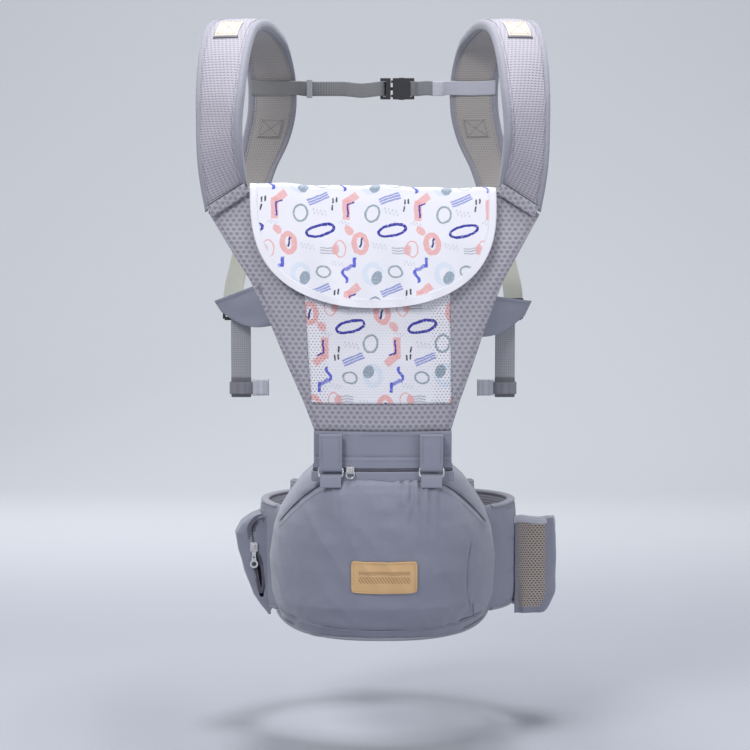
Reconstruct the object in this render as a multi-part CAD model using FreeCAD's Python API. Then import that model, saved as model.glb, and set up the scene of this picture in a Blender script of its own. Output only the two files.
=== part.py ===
"""Hip-seat baby carrier: a foam stool on a padded waist belt, with a zip-on front panel, a flip-up bib,
two padded shoulder straps, a chest strap and side adjusters. Millimetres, +Z up, +Y towards the wearer's back.
The origin is the centre of the waist opening, level with the underside of the stool."""
import FreeCAD, Part
import math
import os

V = FreeCAD.Vector

# Driving dimensions
STOOL_X = 12.0           # the stool and the foot of the panel sit a little to one side
COVER = 3.0              # fabric cover of the stool
GAP = 0.3                # between soft parts that touch
SEAT_Z = 216.0           # top of the seat pad
ZIP_Z = 218.0            # centre line of the main zip
ZIP_HALF = 86.0          # half length of the main zip
BAND_Z = (226.0, 263.0)  # cotton band between the zip and the panel
FOOT_Y = -252.0          # front of the zip at its middle
FOOT_SAG = 9.0           # how far the zip's ends lie behind its middle
ZIP_PARK = -40.0         # slider, from the middle of the zip
RING_R = 5.0             # ring pull
FOLD_Z = 264.5           # line that the panel folds about
PAD_W = 68.0             # shoulder pad width
PAD_T = 15.0             # shoulder pad thickness
WEB_CHEST = 20.0         # chest webbing width
WEB_SIDE = 25.0          # side webbing width
WEB_T = 1.6              # webbing thickness
CHEST_Z = 701.0          # height of the chest strap
BUCKLE_X = 27.0          # middle of the chest buckle
BELT_T = 13.0            # belt thickness
BELT_B = 106.0           # half depth of the belt's middle line
BELT_A = {-1: 146.0, 1: 186.0}   # half width of the belt's middle line, left and right
BELT_WEB = 38.0          # webbing of the belt buckle

# Height, half width, front at the middle and squareness of the stool's sections
STOOL = [
    (0, 114, -206, 2.6), (12, 130, -219, 2.6), (42, 142, -238, 2.8), (90, 143, -252, 3.0),
    (135, 136, -260, 3.4), (170, 122, -262, 4.0), (192, 106, -260, 5.0), (206, 91, -254, 6.0)]
BACK_Y = -72.0           # stool's rear corners
BELLY_Y = -116.0         # stool's hollow back at its middle

# Height, half width, front at the middle, and how far the sides lie behind the middle
PANEL = [
    (264.8, 84, -252, 9), (300, 96, -253, 12), (350, 116, -250, 15), (400, 135, -244, 17),
    (450, 157, -236, 17), (500, 187, -226, 20), (534, 207, -217, 23), (566, 155, -208, 13)]

# Shoulder strap, right side: middle line, direction across it towards its outer edge, width
STRAP = [
    ((183.5, -190, 554.5), (0.853, 0.0, -0.52), 62), ((189, -197, 598), (0.90, 0.30, -0.20), 61),
    ((191, -192, 640), (0.88, 0.47, 0), 64), ((190, -178, 684), (0.89, 0.45, 0), PAD_W),
    ((187, -148, 732), (0.94, 0.33, 0), PAD_W), ((181, -100, 769), (0.98, 0.20, 0), PAD_W),
    ((170, -34, 784), (1, 0.05, 0), PAD_W), ((158, 28, 777), (1, -0.08, 0), PAD_W),
    ((148, 72, 755), (0.98, -0.20, 0), PAD_W), ((140, 99, 716), (0.95, -0.30, 0), PAD_W),
    ((140, 110, 672), (0.95, -0.30, 0), PAD_W), ((149, 116, 631), (0.95, -0.28, 0), 66),
    ((163, 115, 590), (0.97, -0.22, 0), 56), ((170, 108, 552), (0.99, -0.14, 0), 46),
    ((173, 101, 524), (1, -0.05, 0), 36)]
SIDE_WEB = [
    ((174, 98, 515), (1, 0, 0), WEB_SIDE), ((177, 60, 490), (1, 0.1, 0), WEB_SIDE),
    ((180, -10, 459), (0.99, 0.12, 0), WEB_SIDE), ((181, -80, 437), (0.98, 0.15, 0.1), WEB_SIDE),
    ((179, -135, 422), (0.96, 0.15, 0.2), WEB_SIDE), ((176, -163, 415), (0.95, 0.1, 0.3), WEB_SIDE)]


def unit(v):
    v = V(*v)
    v.normalize()
    return v


def box(x, y, z):
    """A block given by its (low, high) along each axis."""
    return Part.makeBox(x[1] - x[0], y[1] - y[0], z[1] - z[0], V(x[0], y[0], z[0]))


def polygon(points):
    return Part.makePolygon([V(*p) for p in points] + [V(*points[0])])


def plate(points, along):
    """A flat outline pushed along a vector."""
    return Part.Face(polygon(points)).extrude(V(*along))


def mirrored(shape):
    """The same piece for the other side."""
    copy = shape.mirror(V(0, 0, 0), V(1, 0, 0))
    return Part.Solid(copy) if copy.ShapeType == "Shell" else copy


def biggest(shape):
    return max(shape.Solids, key=lambda s: s.Volume)


def refined(stations, between=2):
    """The same band with more stations, on a smooth curve through the given ones."""
    curve = Part.BSplineCurve()
    curve.interpolate([V(*s[0]) for s in stations])
    knots = curve.getKnots()
    rows = []
    for i, (here, after) in enumerate(zip(stations, stations[1:])):
        for k in range(between + 1):
            t = k / (between + 1)
            point = curve.value(knots[i] + (knots[i + 1] - knots[i]) * t)
            across = V(*here[1]) * (1 - t) + V(*after[1]) * t
            rows.append((tuple(point), tuple(across), here[2] * (1 - t) + after[2] * t))
    return rows + [stations[-1]]


def station_frames(stations):
    """Middle point, width direction, thickness direction and width at each station. Thickness points outwards."""
    points = [V(*s[0]) for s in stations]
    frames = []
    for i, (_, across, width) in enumerate(stations):
        along = points[min(i + 1, len(points) - 1)] - points[max(i - 1, 0)]
        across = unit(across)
        out = across.cross(along)
        out.normalize()
        frames.append((points[i], across, out, width))
    return frames


def band(stations, inner, outer, low, high):
    """A solid along stations, between two places across the width and two in the thickness.
    inner and outer are functions of the station's width."""
    wires = []
    for centre, across, out, width in station_frames(stations):
        a, b = inner(width), outer(width)
        corners = [(a, low), (b, low), (b, high), (a, high)]
        wires.append(Part.makePolygon([centre + across * c + out * t for c, t in corners + corners[:1]]))
    return Part.makeLoft(wires, True, True)


def ribbon(stations, low, high, inset=0.0):
    """A band along stations, from low to high in its thickness direction, narrower by inset at each edge."""
    return band(stations, lambda w: -w / 2 + inset, lambda w: w / 2 - inset, low, high)


def curved_strip(z, half, front, sag, depth, x0):
    """Closed outline of an upright curved sheet at one height."""
    def arc(y):
        return Part.Arc(V(x0 - half, y + sag, z), V(x0, y, z), V(x0 + half, y + sag, z)).toShape()

    def end(side):
        return Part.makeLine(V(x0 + side * half, front + sag, z), V(x0 + side * half, front + depth + sag, z))
    return Part.Wire(Part.__sortEdges__([arc(front), end(1), arc(front + depth), end(-1)]))


def lean(z):
    """Sideways place of the panel's middle: over the stool at its foot, over the wearer at its top."""
    low, high = PANEL[0][0], PANEL[-1][0]
    share = min(1.0, max(0.0, (high - z) / (high - low)))
    return STOOL_X * share


def panel_at(z):
    """Half width, front and sag of the panel at a height, read between its sections."""
    for a, b in zip(PANEL, PANEL[1:]):
        if a[0] <= z <= b[0]:
            t = (z - a[0]) / (b[0] - a[0])
            return [a[k] + t * (b[k] - a[k]) for k in (1, 2, 3)]
    return list((PANEL[0] if z < PANEL[0][0] else PANEL[-1])[1:])


def arc_sag(half, sag, x):
    """How far behind its middle an arc lies at x, where it lies sag behind at half."""
    radius = (half ** 2 + sag ** 2) / (2 * sag)
    return radius - math.sqrt(radius ** 2 - x ** 2)


def panel_layer(depth_from, depth_to, inset=0.0):
    """One layer of the panel, between two depths behind its front."""
    wires = []
    for n in range(len(PANEL)):
        z = PANEL[n][0] + inset * ((n == 0) - (n == len(PANEL) - 1))
        half, front, sag = panel_at(z)
        sag = arc_sag(half, sag, half - inset)
        wires.append(curved_strip(z, half - inset, front + depth_from, sag, depth_to - depth_from, lean(z)))
    return Part.makeLoft(wires, True, True)


def stool_section(z, half, front, square, inset=0.0):
    """Outline of the stool at one height: hollow towards the belly, rounded in front."""
    half, front = half - inset, front + inset
    back, belly = BACK_Y - inset, BELLY_Y - inset
    points = []
    steps = 12
    for n in range(steps + 1):
        t = math.pi * n / steps
        c, s = math.cos(t), math.sin(t)
        x = math.copysign(abs(c) ** (2 / square), c) * half
        points.append(V(STOOL_X + x, back + (front - back) * abs(s) ** (2 / square), z))
    curve = Part.BSplineCurve()
    curve.interpolate(points)
    hollow = Part.Arc(points[-1], V(STOOL_X, belly, z), points[0])
    return Part.Wire([curve.toShape(), hollow.toShape()])


def stool_solid(inset=0.0):
    wires = []
    for n, (z, half, front, square) in enumerate(STOOL):
        z += inset * ((n == 0) - (n == len(STOOL) - 1))
        wires.append(stool_section(z, half, front, square, inset))
    return Part.makeLoft(wires, True, True)


def front_strip(z_low, z_high, depth_from, depth_to, half):
    """An upright strip that follows the curve of the stool's front edge."""
    wires = [curved_strip(z, half, FOOT_Y + depth_from, FOOT_SAG * (half / ZIP_HALF) ** 2,
                          depth_to - depth_from, STOOL_X) for z in (z_low, z_high)]
    return Part.makeLoft(wires, True, True)


def foot_y(x):
    """Front of the zip at a place along it."""
    return FOOT_Y + FOOT_SAG * ((x - STOOL_X) / ZIP_HALF) ** 2


def hip_seat(parts):
    inside = stool_solid(COVER)
    parts["stool_core"] = stool_solid(COVER + 5 * GAP).common(inside)
    parts["stool_cover"] = stool_solid().cut(inside)
    pad = polygon([(STOOL_X - 80, -118, 206.4), (STOOL_X - 76, -228, 206.4), (STOOL_X - 40, -238, 206.4),
                   (STOOL_X + 40, -238, 206.4), (STOOL_X + 76, -228, 206.4), (STOOL_X + 80, -118, 206.4)])
    parts["seat_pad"] = Part.Face(pad).extrude(V(0, 0, SEAT_Z - 206.4))
    rows = []
    for deg in range(-62, 63, 4):
        a = math.radians(deg)
        rows.append(((STOOL_X + 137 * math.sin(a), -BELT_B * math.cos(a) + 2, 94), (0, 0, 1), 176))
    belly = ribbon(rows, -5.5, 5.5)
    parts["belly_pad"] = belly.cut(stool_solid(-GAP))
    label = box((STOOL_X - 39, STOOL_X + 43), (-275, -230), (63, 106))
    shell = stool_solid(-2.0).cut(stool_solid(-GAP))
    parts["label_patch"] = label.common(shell)


TAB_X = {"left": STOOL_X - 64.0, "right": STOOL_X + 60.0}
TAB_FOLD_Z = 224.0       # where a tab's front flap can fold down


def tab_ring(x, y):
    """Wire ring that a safety tab passes through."""
    outer = box((x - 17, x + 17), (y - 1.25, y + 1.25), (208.5, 222.5))
    return outer.cut(box((x - 14.5, x + 14.5), (y - 2, y + 2), (211, 220)))


def ring_anchor(x, y):
    """Short fabric loop that ties a ring to the stool."""
    outer = box((x - 13, x + 13), (y - 3.2, y + 3.2), (206.3, 213))
    return outer.cut(box((x - 14, x + 14), (y - 1.7, y + 1.7), (207.7, 211.6)))


def safety_tabs(parts):
    """Tabs from the band through the rings. The front flap snaps shut and folds down when it is undone."""
    rings, anchors, straps, studs = [], [], [], []
    for side, x in TAB_X.items():
        y = foot_y(x) - 6.0
        rings.append(tab_ring(x, y))
        anchors.append(ring_anchor(x, y))
        wide = (x - 14, x + 14)
        back = box(wide, (y + 1.8, y + 3.2), (217.8, 262))
        bend = box(wide, (y - 3.2, y + 3.2), (217.8, 219.2))
        front = box(wide, (y - 3.2, y - 1.8), (217.8, TAB_FOLD_Z))
        root = box(wide, (y + 3.2, y + 4.2), (256, 262))
        straps.append(back.fuse(bend).fuse(front).fuse(root).removeSplitter())
        flap = box(wide, (y - 3.2, y - 1.8), (TAB_FOLD_Z + GAP, 262))
        cap = Part.makeCylinder(5.5, 1.0, V(x, y - 3.2, 249), V(0, -1, 0))
        parts[f"tab_flap_{side}"] = Part.Compound([flap, cap])
        studs.append(Part.makeCylinder(4.5, 3.2, V(x, y + 1.8, 249), V(0, -1, 0)))
    parts["tab_straps"] = Part.Compound(straps)
    parts["snap_studs"] = Part.Compound(studs)
    parts["tab_rings"] = Part.Compound(rings)
    parts["ring_anchors"] = Part.Compound(anchors)


def zip_band(parts):
    tapes = [front_strip(206.8, ZIP_Z - 1.4, 1.5, 3.0, ZIP_HALF),
             front_strip(ZIP_Z + 1.4, BAND_Z[0] + 2, 1.5, 3.0, ZIP_HALF)]
    parts["main_zip"] = Part.Compound(tapes)
    parts["base_band"] = front_strip(BAND_Z[0] + 2.3, BAND_Z[1], 0.8, 5.4, ZIP_HALF - 1.5)


def zip_slider(parts):
    """Slider parked beside the left tab, and the ring pull that hangs from its bridge."""
    x = STOOL_X + ZIP_PARK
    y = foot_y(x)
    body = box((x - 5, x + 5), (y - 3.4, y + 5.0), (ZIP_Z - 4.5, ZIP_Z + 4.5))
    slot = box((x - 6, x + 6), (y - 1.1, y + 3.5), (ZIP_Z - 5, ZIP_Z + 5))
    bridge = box((x - 2, x + 2), (y - 6.8, y - 3.4), (ZIP_Z - 3.2, ZIP_Z + 3.2))
    eye = box((x - 3, x + 3), (y - 5.6, y - 3.4), (ZIP_Z - 1.7, ZIP_Z + 1.7))
    post = box((x - 1.5, x + 1.5), (y - 1.1, y + 3.5), (ZIP_Z - 1.0, ZIP_Z + 1.0))
    parts["zip_slider"] = body.cut(slot).fuse(bridge.cut(eye)).fuse(post).removeSplitter()
    parts["zip_ring"] = Part.makeTorus(RING_R, 0.65, V(x, y - 4.5, ZIP_Z - RING_R), V(0, 1, 0))


def panel(parts):
    parts["panel_shell"] = panel_layer(0, 2.5)
    parts["panel_foam"] = panel_layer(2.5 + GAP, 9.0, 4.0)
    parts["panel_lining"] = panel_layer(9.0 + GAP, 11.5)
    wires = []
    for z, half in ((300, 85), (340, 87), (400, 90), (450, 91), (500, 92), (534, 92)):
        wide, front, sag = panel_at(z)
        wires.append(curved_strip(z, half, front - 0.3 - 1.0, sag * (half / wide) ** 2, 1.0, lean(z)))
    window = Part.makeLoft(wires, True, True)
    parts["panel_window"] = window.cut(panel_layer(-GAP, 12.0))


WING = [(128, -215.5, 378), (150, -211, 424), (196, -187, 421), (182, -186, 397), (156, -200, 379)]


def side_wings(parts):
    """Cotton triangles sewn behind the panel's side edges. They carry the ladder locks."""
    a, b, c = (V(*p) for p in WING[:3])
    normal = (b - a).cross(c - a)
    normal.normalize()
    flat = [V(*p) - normal * (V(*p) - a).dot(normal) for p in WING]
    wing = Part.Face(Part.makePolygon(flat + flat[:1])).extrude(normal * 2.4)
    parts["side_wings"] = Part.Compound([wing, mirrored(wing)])


LOCK = (172.0, -176.0, 413.0)    # middle of the right ladder lock


def ladder_lock(parts):
    """Flat frame with three bars, on the back of each wing. The webbing goes round the middle bar."""
    x, y, z = LOCK
    frame = box((x - 17, x + 17), (y - 2, y + 2), (z - 13, z + 13))
    for low, high in ((-10.5, -4.5), (-1.5, 3.5), (6.5, 10.5)):
        frame = frame.cut(box((x - 13.5, x + 13.5), (y - 3, y + 3), (z + low, z + high)))
    lip = box((x - 15, x + 15), (y + 2, y + 5), (z - 15, z - 11.5))
    lock = frame.fuse(lip).removeSplitter()
    parts["lock_right"] = lock
    parts["lock_left"] = mirrored(lock)


def tails(parts):
    """Loose ends of the side webbing, with a rolled end in an elastic keeper."""
    x, y, z = LOCK[0] - 6, LOCK[1] - 4.4, LOCK[2]
    web = box((x - 12.5, x + 12.5), (y - 0.8, y + 0.8), (304, z - 4))
    roll = box((x - 12.5, x + 12.5), (y + 1.0, y + 5.2), (304.5, 326))
    band = box((x - 13.4, x + 13.4), (y - 2.2, y + 6.6), (305, 323)).cut(
        box((x - 12.9, x + 12.9), (y - 1.2, y + 5.6), (300, 330)))
    spare = box((x - 34, x - 13.4), (y - 1.6, y + 1.2), (305.5, 322.5)).cut(
        box((x - 33, x - 13), (y - 0.7, y + 0.3), (300, 330)))
    keeper = band.fuse(spare).removeSplitter()
    parts["tail_right"] = web.fuse(roll.fuse(box((x - 12.5, x + 12.5), (y - 0.8, y + 5.2), (304, 306))))
    parts["tail_right"] = parts["tail_right"].removeSplitter()
    parts["keeper_right"] = keeper
    parts["tail_left"] = mirrored(parts["tail_right"])
    parts["keeper_left"] = mirrored(keeper)


# Height, half width and front of the bib's sections
BIB = [(572, 153, -214.2), (550, 153, -219.5), (520, 151, -226.5), (490, 145, -233.5),
       (465, 134, -239), (445, 116, -243), (430, 92, -246), (420, 62, -248), (415, 28, -249)]


def bib(parts):
    """Printed cover folded down over the panel's top: a curved sheet with a rounded free end."""
    wires = [curved_strip(z, half, front, 12 * (half / 153) ** 2, 1.4, lean(z) * 0.5) for z, half, front in BIB]
    parts["bib"] = Part.makeLoft(wires, True, True)


def strap(parts, side):
    name = "left" if side < 0 else "right"

    def keep(key, shape):
        parts[f"strap_{name}_{key}"] = mirrored(shape) if side < 0 else shape
    half = PAD_T / 2
    pad = refined(STRAP)
    keep("shell", ribbon(pad, half - 2.8, half, inset=4.2))
    keep("foam", ribbon(pad, -half + 3.1, half - 3.1, inset=4.6))
    keep("lining", ribbon(pad, -half, -half + 2.8, inset=4.2))
    edges = [band(pad, lambda w: w / 2 - 3.9, lambda w: w / 2, -half + 2.5, half - 2.5),
             band(pad, lambda w: -w / 2, lambda w: -w / 2 + 3.9, -half + 2.5, half - 2.5)]
    keep("binding", Part.Compound(edges))
    strip = band(pad, lambda w: -17, lambda w: 17, half + GAP, half + 1.9)
    keep("patch", strip.common(box((100, 260), (-132, -92), (700, 820))))
    keep("webbing", ribbon(refined(SIDE_WEB), -WEB_T / 2, WEB_T / 2))


def release_buckle(width, length, height):
    """Side-release buckle along +X, its mouth at x = 0: socket, plug body, and the plug's two side prongs.
    The webbing's width lies along Z."""
    wall = 2.2
    half_z, half_y = width / 2 + 4.5, height / 2
    socket = box((0, length * 0.62), (-half_y, half_y), (-half_z, half_z))
    cave = box((-1, length * 0.44), (-half_y + wall, half_y - wall), (-half_z + wall, half_z - wall))
    window = box((length * 0.14, length * 0.36), (-half_y + wall, half_y - wall), (-half_z - 1, half_z + 1))
    slot = box((length * 0.49, length * 0.56), (-half_y - 1, half_y + 1), (-width / 2 - 0.6, width / 2 + 0.6))
    socket = socket.cut(cave).cut(window).cut(slot)
    thin = half_y - wall - 0.5
    base = box((-length * 0.36, -length * 0.06), (-half_y, half_y), (-half_z, half_z))
    base = base.cut(box((-length * 0.28, -length * 0.20), (-half_y - 1, half_y + 1),
                        (-width / 2 - 0.6, width / 2 + 0.6)))
    guide = box((-length * 0.06, length * 0.38), (-thin, thin), (-width * 0.11, width * 0.11))
    plug = base.fuse(guide).removeSplitter()
    arm_z = half_z - wall - 0.8
    outline = [(-0.05, arm_z - 3.4), (0.40, arm_z - 4.2), (0.41, arm_z - 2.2), (0.35, arm_z),
               (0.34, half_z + 0.7), (0.18, half_z + 0.7), (0.16, arm_z), (-0.05, arm_z)]
    arm = plate([(x * length, -thin, z) for x, z in outline], (0, 2 * thin, 0))
    lower = arm.mirror(V(0, 0, 0), V(0, 0, 1))
    return socket, plug, arm, lower


def chest_strap(parts):
    """Two halves that cross the linings of the shoulder pads and meet in a side-release buckle."""
    y_mid = 107.0
    on_pad = (0, -0.34, 0.94)
    outer, inner = (167.5, 84.8), (105.5, 102.8)

    def web(rows):
        rows = [((x, y, CHEST_Z), across, WEB_CHEST) for x, y, across in rows]
        return ribbon(rows, -WEB_T / 2, WEB_T / 2)
    socket, plug, upper, lower = release_buckle(WEB_CHEST, 48, 9.5)
    move = V(BUCKLE_X, y_mid, CHEST_Z)
    for key, shape in (("chest_socket", socket), ("chest_plug", plug),
                       ("chest_prong_upper", upper), ("chest_prong_lower", lower)):
        parts[key] = shape.translated(move)
    up = (0, 0, 1)
    left = web([(-outer[0], outer[1], on_pad), (-inner[0], inner[1], on_pad),
                (-96, y_mid - 0.4, up), (-70, y_mid, up), (BUCKLE_X - 14, y_mid, up)])
    right = web([(BUCKLE_X + 27, y_mid, up), (80, y_mid, up), (96, y_mid - 0.4, up),
                 (inner[0], inner[1], on_pad), (outer[0], outer[1], on_pad)])
    parts["chest_web_left"] = biggest(left.cut(parts["chest_plug"]))
    parts["chest_web_right"] = biggest(right.cut(parts["chest_socket"]))
    x = -88
    glide = box((x - 4, x + 4), (y_mid - 3.2, y_mid + 3.2), (CHEST_Z - 12.5, CHEST_Z + 12.5)).cut(
        box((x - 5, x + 5), (y_mid - 1.5, y_mid + 1.5), (CHEST_Z - 10.5, CHEST_Z + 10.5)))
    parts["chest_glide"] = glide


def belt_line(side, deg, out=0.0):
    """A point on the belt's middle line. 0 degrees is the wearer's side, 90 the middle of the back."""
    a = math.radians(deg)
    return side * (BELT_A[side] + out) * math.cos(a), (BELT_B + out) * math.sin(a)


WING_DEG = {-1: (-24.0, 96.0), 1: (-30.0, 95.5)}   # where each wing starts and ends on the belt line


def wing_out(side, deg):
    """The right wing steps outwards at the back, so that it laps over the left one."""
    if side < 0:
        return 0.0
    return (BELT_T + 2.5) * min(1.0, max(0.0, (deg - 45) / 28))


def belt_wing(parts, side):
    name = "left" if side < 0 else "right"
    first, last = WING_DEG[side]
    rows = []
    steps = 18
    for n in range(steps + 1):
        t = n / steps
        deg = first + (last - first) * t
        x, y = belt_line(side, deg, wing_out(side, deg))
        rows.append(((x, y, 80 + 6 * t), (0, 0, -side), 150 - 44 * t ** 1.5))
    half = BELT_T / 2
    filling = ribbon(rows[1:-1], -half + 2.5, half - 2.5, inset=2.5)
    parts[f"belt_{name}_cover"] = ribbon(rows, -half, half).cut(filling)
    parts[f"belt_{name}_foam"] = ribbon(rows[1:-1], -half + 2.8, half - 2.8, inset=2.8)


def wing_clearance(side, first, last, inwards):
    """The wing's own space and all behind it, which the pockets are cut away from."""
    rows = [((*belt_line(side, deg), 80), (0, 0, -side), 240) for deg in range(first, last, 3)]
    return ribbon(rows, -inwards, BELT_T / 2 + GAP)


POCKET_FACE_Y = -42.0    # front of the zip pocket
POCKET = ((4, 4), (45, 23), (92, 34), (115, 29), (130, 10))   # height, depth from the wing


def zip_pocket(parts):
    """Pouch on the left wing with a zip down its front, which stands open below the slider."""
    def solid(inset):
        wires = []
        for n, (z, deep) in enumerate(POCKET):
            z += inset * ((n == 0) - (n == len(POCKET) - 1))
            x = -152 - max(deep - inset, 1.0)
            near, far = POCKET_FACE_Y + inset, 34 - inset
            wires.append(polygon([(-126, near, z), (-126, far, z), (x, far - 6, z), (x, near, z)]))
        return Part.makeLoft(wires, True, True)
    slit = plate([(-164, -60, 84), (-156, -60, 84), (-149, -60, 26), (-154, -60, 26)], (0, 26, 0))
    pouch = solid(0.0).cut(solid(2.0)).cut(slit)
    parts["zip_pocket"] = biggest(pouch.cut(wing_clearance(-1, -30, 40, 30)))


def mesh_pocket(parts):
    """Open-topped pocket on the right wing."""
    def solid(inset, top):
        wires = [polygon([(150, -24 + inset, z), (176 + deep - inset, -20 + inset, z),
                          (176 + deep - inset, 44 - inset, z), (150, 60 - inset, z)])
                 for z, deep in ((6 + inset, 50), (30, 62), (top, 66))]
        return Part.makeLoft(wires, True, True)
    pouch = solid(0.0, 130).cut(solid(2.0, 140))
    parts["mesh_pocket"] = biggest(pouch.cut(wing_clearance(1, -27, 45, 40)))


def pocket_zip(parts):
    """Slider and pull tab at the middle of the pocket's zip."""
    x, y, z = -159.0, POCKET_FACE_Y - 0.5, 87.0
    body = box((x - 5, x + 5), (y - 3.4, y + 0.2), (z - 6, z + 6))
    bridge = box((x - 1.5, x + 1.5), (y - 6.0, y - 3.4), (z - 4, z + 4)).cut(
        box((x - 2, x + 2), (y - 4.9, y - 3.4), (z - 2.6, z + 2.6)))
    parts["pocket_slider"] = body.fuse(bridge).removeSplitter()
    neck = plate([(x - 3.4, y - 4.75, z + 0.5), (x + 3.4, y - 4.75, z + 0.5), (x + 2.5, y - 4.75, z - 11),
                  (x + 3.6, y - 4.75, z - 20), (x - 3.6, y - 4.75, z - 20), (x - 2.5, y - 4.75, z - 11)], (0, 1.1, 0))
    blade = neck.fuse(Part.makeCylinder(5.6, 1.1, V(x, y - 4.75, z - 22.5), V(0, 1, 0)))
    slot = box((x - 2.1, x + 2.1), (y - 6, y - 3), (z - 6, z + 1))
    bar = box((x - 2.5, x + 2.5), (y - 4.65, y - 3.65), (z - 0.5, z + 0.5))
    hole = Part.makeCylinder(3.1, 6, V(x, y - 8, z - 22.5), V(0, 1, 0)).fuse(
        Part.makeCylinder(1.2, 6, V(x, y - 8, z - 13.5), V(0, 1, 0)))
    parts["pocket_pull"] = blade.cut(slot).fuse(bar).cut(hole).removeSplitter()


def belt_buckle(parts):
    """Side-release buckle at the back of the belt, plug on the left wing and socket on the right."""
    x, y, z = -4.0, BELT_B + BELT_T / 2 + 27, 86.0
    socket, plug, upper, lower = release_buckle(BELT_WEB, 62, 13)
    for key, shape in (("belt_socket", socket), ("belt_plug", plug),
                       ("belt_prong_upper", upper), ("belt_prong_lower", lower)):
        parts[key] = shape.translated(V(x, y, z))

    def web(side, degs, bridge):
        rest = BELT_T / 2 + 2.2
        points = [belt_line(side, deg, rest + wing_out(side, deg)) for deg in degs] + bridge
        rows = [((px, py, z), (0, 0, 1), BELT_WEB - 1) for px, py in points]
        return ribbon(rows, -1.0, 1.0)
    left = web(-1, (44, 50, 56, 62), [(-46, y - 7), (-34, y), (x - 14, y)])
    right = web(1, (44, 50, 56, 62, 68), [(44, y - 2), (34, y), (x + 33, y)])
    parts["belt_web_left"] = biggest(left.cut(plug.translated(V(x, y, z))))
    parts["belt_web_right"] = biggest(right.cut(socket.translated(V(x, y, z))))


def build():
    parts = {}
    hip_seat(parts)
    safety_tabs(parts)
    zip_band(parts)
    zip_slider(parts)
    panel(parts)
    side_wings(parts)
    ladder_lock(parts)
    tails(parts)
    bib(parts)
    strap(parts, -1)
    strap(parts, 1)
    chest_strap(parts)
    belt_wing(parts, -1)
    belt_wing(parts, 1)
    zip_pocket(parts)
    mesh_pocket(parts)
    pocket_zip(parts)
    belt_buckle(parts)
    return parts


os.makedirs("parts", exist_ok=True)
for old in os.listdir("parts"):
    os.remove(os.path.join("parts", old))
for node, shape in build().items():
    sound = all(solid.isValid() and solid.Volume > 0 for solid in shape.Solids)
    print(node, len(shape.Solids), "solids", round(shape.Volume / 1000, 2), "cm3", "" if sound else "NOT SOUND")
    shape.exportStep(f"parts/{node}.step")
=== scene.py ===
"""The looks of a hip-seat baby carrier, built around its CAD frame. Lengths are in metres, and MM is one
millimetre. Soft pieces are closed forms made from a few sections, in the places that the CAD solids hold."""
import bpy
import bmesh
import math
import numpy as np
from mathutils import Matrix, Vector, noise


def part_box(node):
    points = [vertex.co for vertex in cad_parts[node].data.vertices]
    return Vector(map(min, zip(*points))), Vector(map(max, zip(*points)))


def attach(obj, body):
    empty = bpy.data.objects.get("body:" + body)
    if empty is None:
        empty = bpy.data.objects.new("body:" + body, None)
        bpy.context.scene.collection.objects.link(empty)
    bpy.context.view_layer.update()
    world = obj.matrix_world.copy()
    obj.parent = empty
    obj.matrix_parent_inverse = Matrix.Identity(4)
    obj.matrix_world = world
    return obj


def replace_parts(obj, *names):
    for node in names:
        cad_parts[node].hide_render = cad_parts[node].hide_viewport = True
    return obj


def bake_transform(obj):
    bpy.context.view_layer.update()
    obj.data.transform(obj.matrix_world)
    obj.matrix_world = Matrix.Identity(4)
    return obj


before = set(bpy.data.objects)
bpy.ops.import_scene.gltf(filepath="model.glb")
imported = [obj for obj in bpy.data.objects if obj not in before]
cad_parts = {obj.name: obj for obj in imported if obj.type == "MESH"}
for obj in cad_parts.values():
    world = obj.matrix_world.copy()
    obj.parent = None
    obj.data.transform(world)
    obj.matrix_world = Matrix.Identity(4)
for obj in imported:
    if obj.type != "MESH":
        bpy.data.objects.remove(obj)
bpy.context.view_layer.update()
MM = 0.001
TAU = 2 * math.pi
SIDES = ((-1, "left"), (1, "right"))


# ---------------------------------------------------------------- node trees

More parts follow.
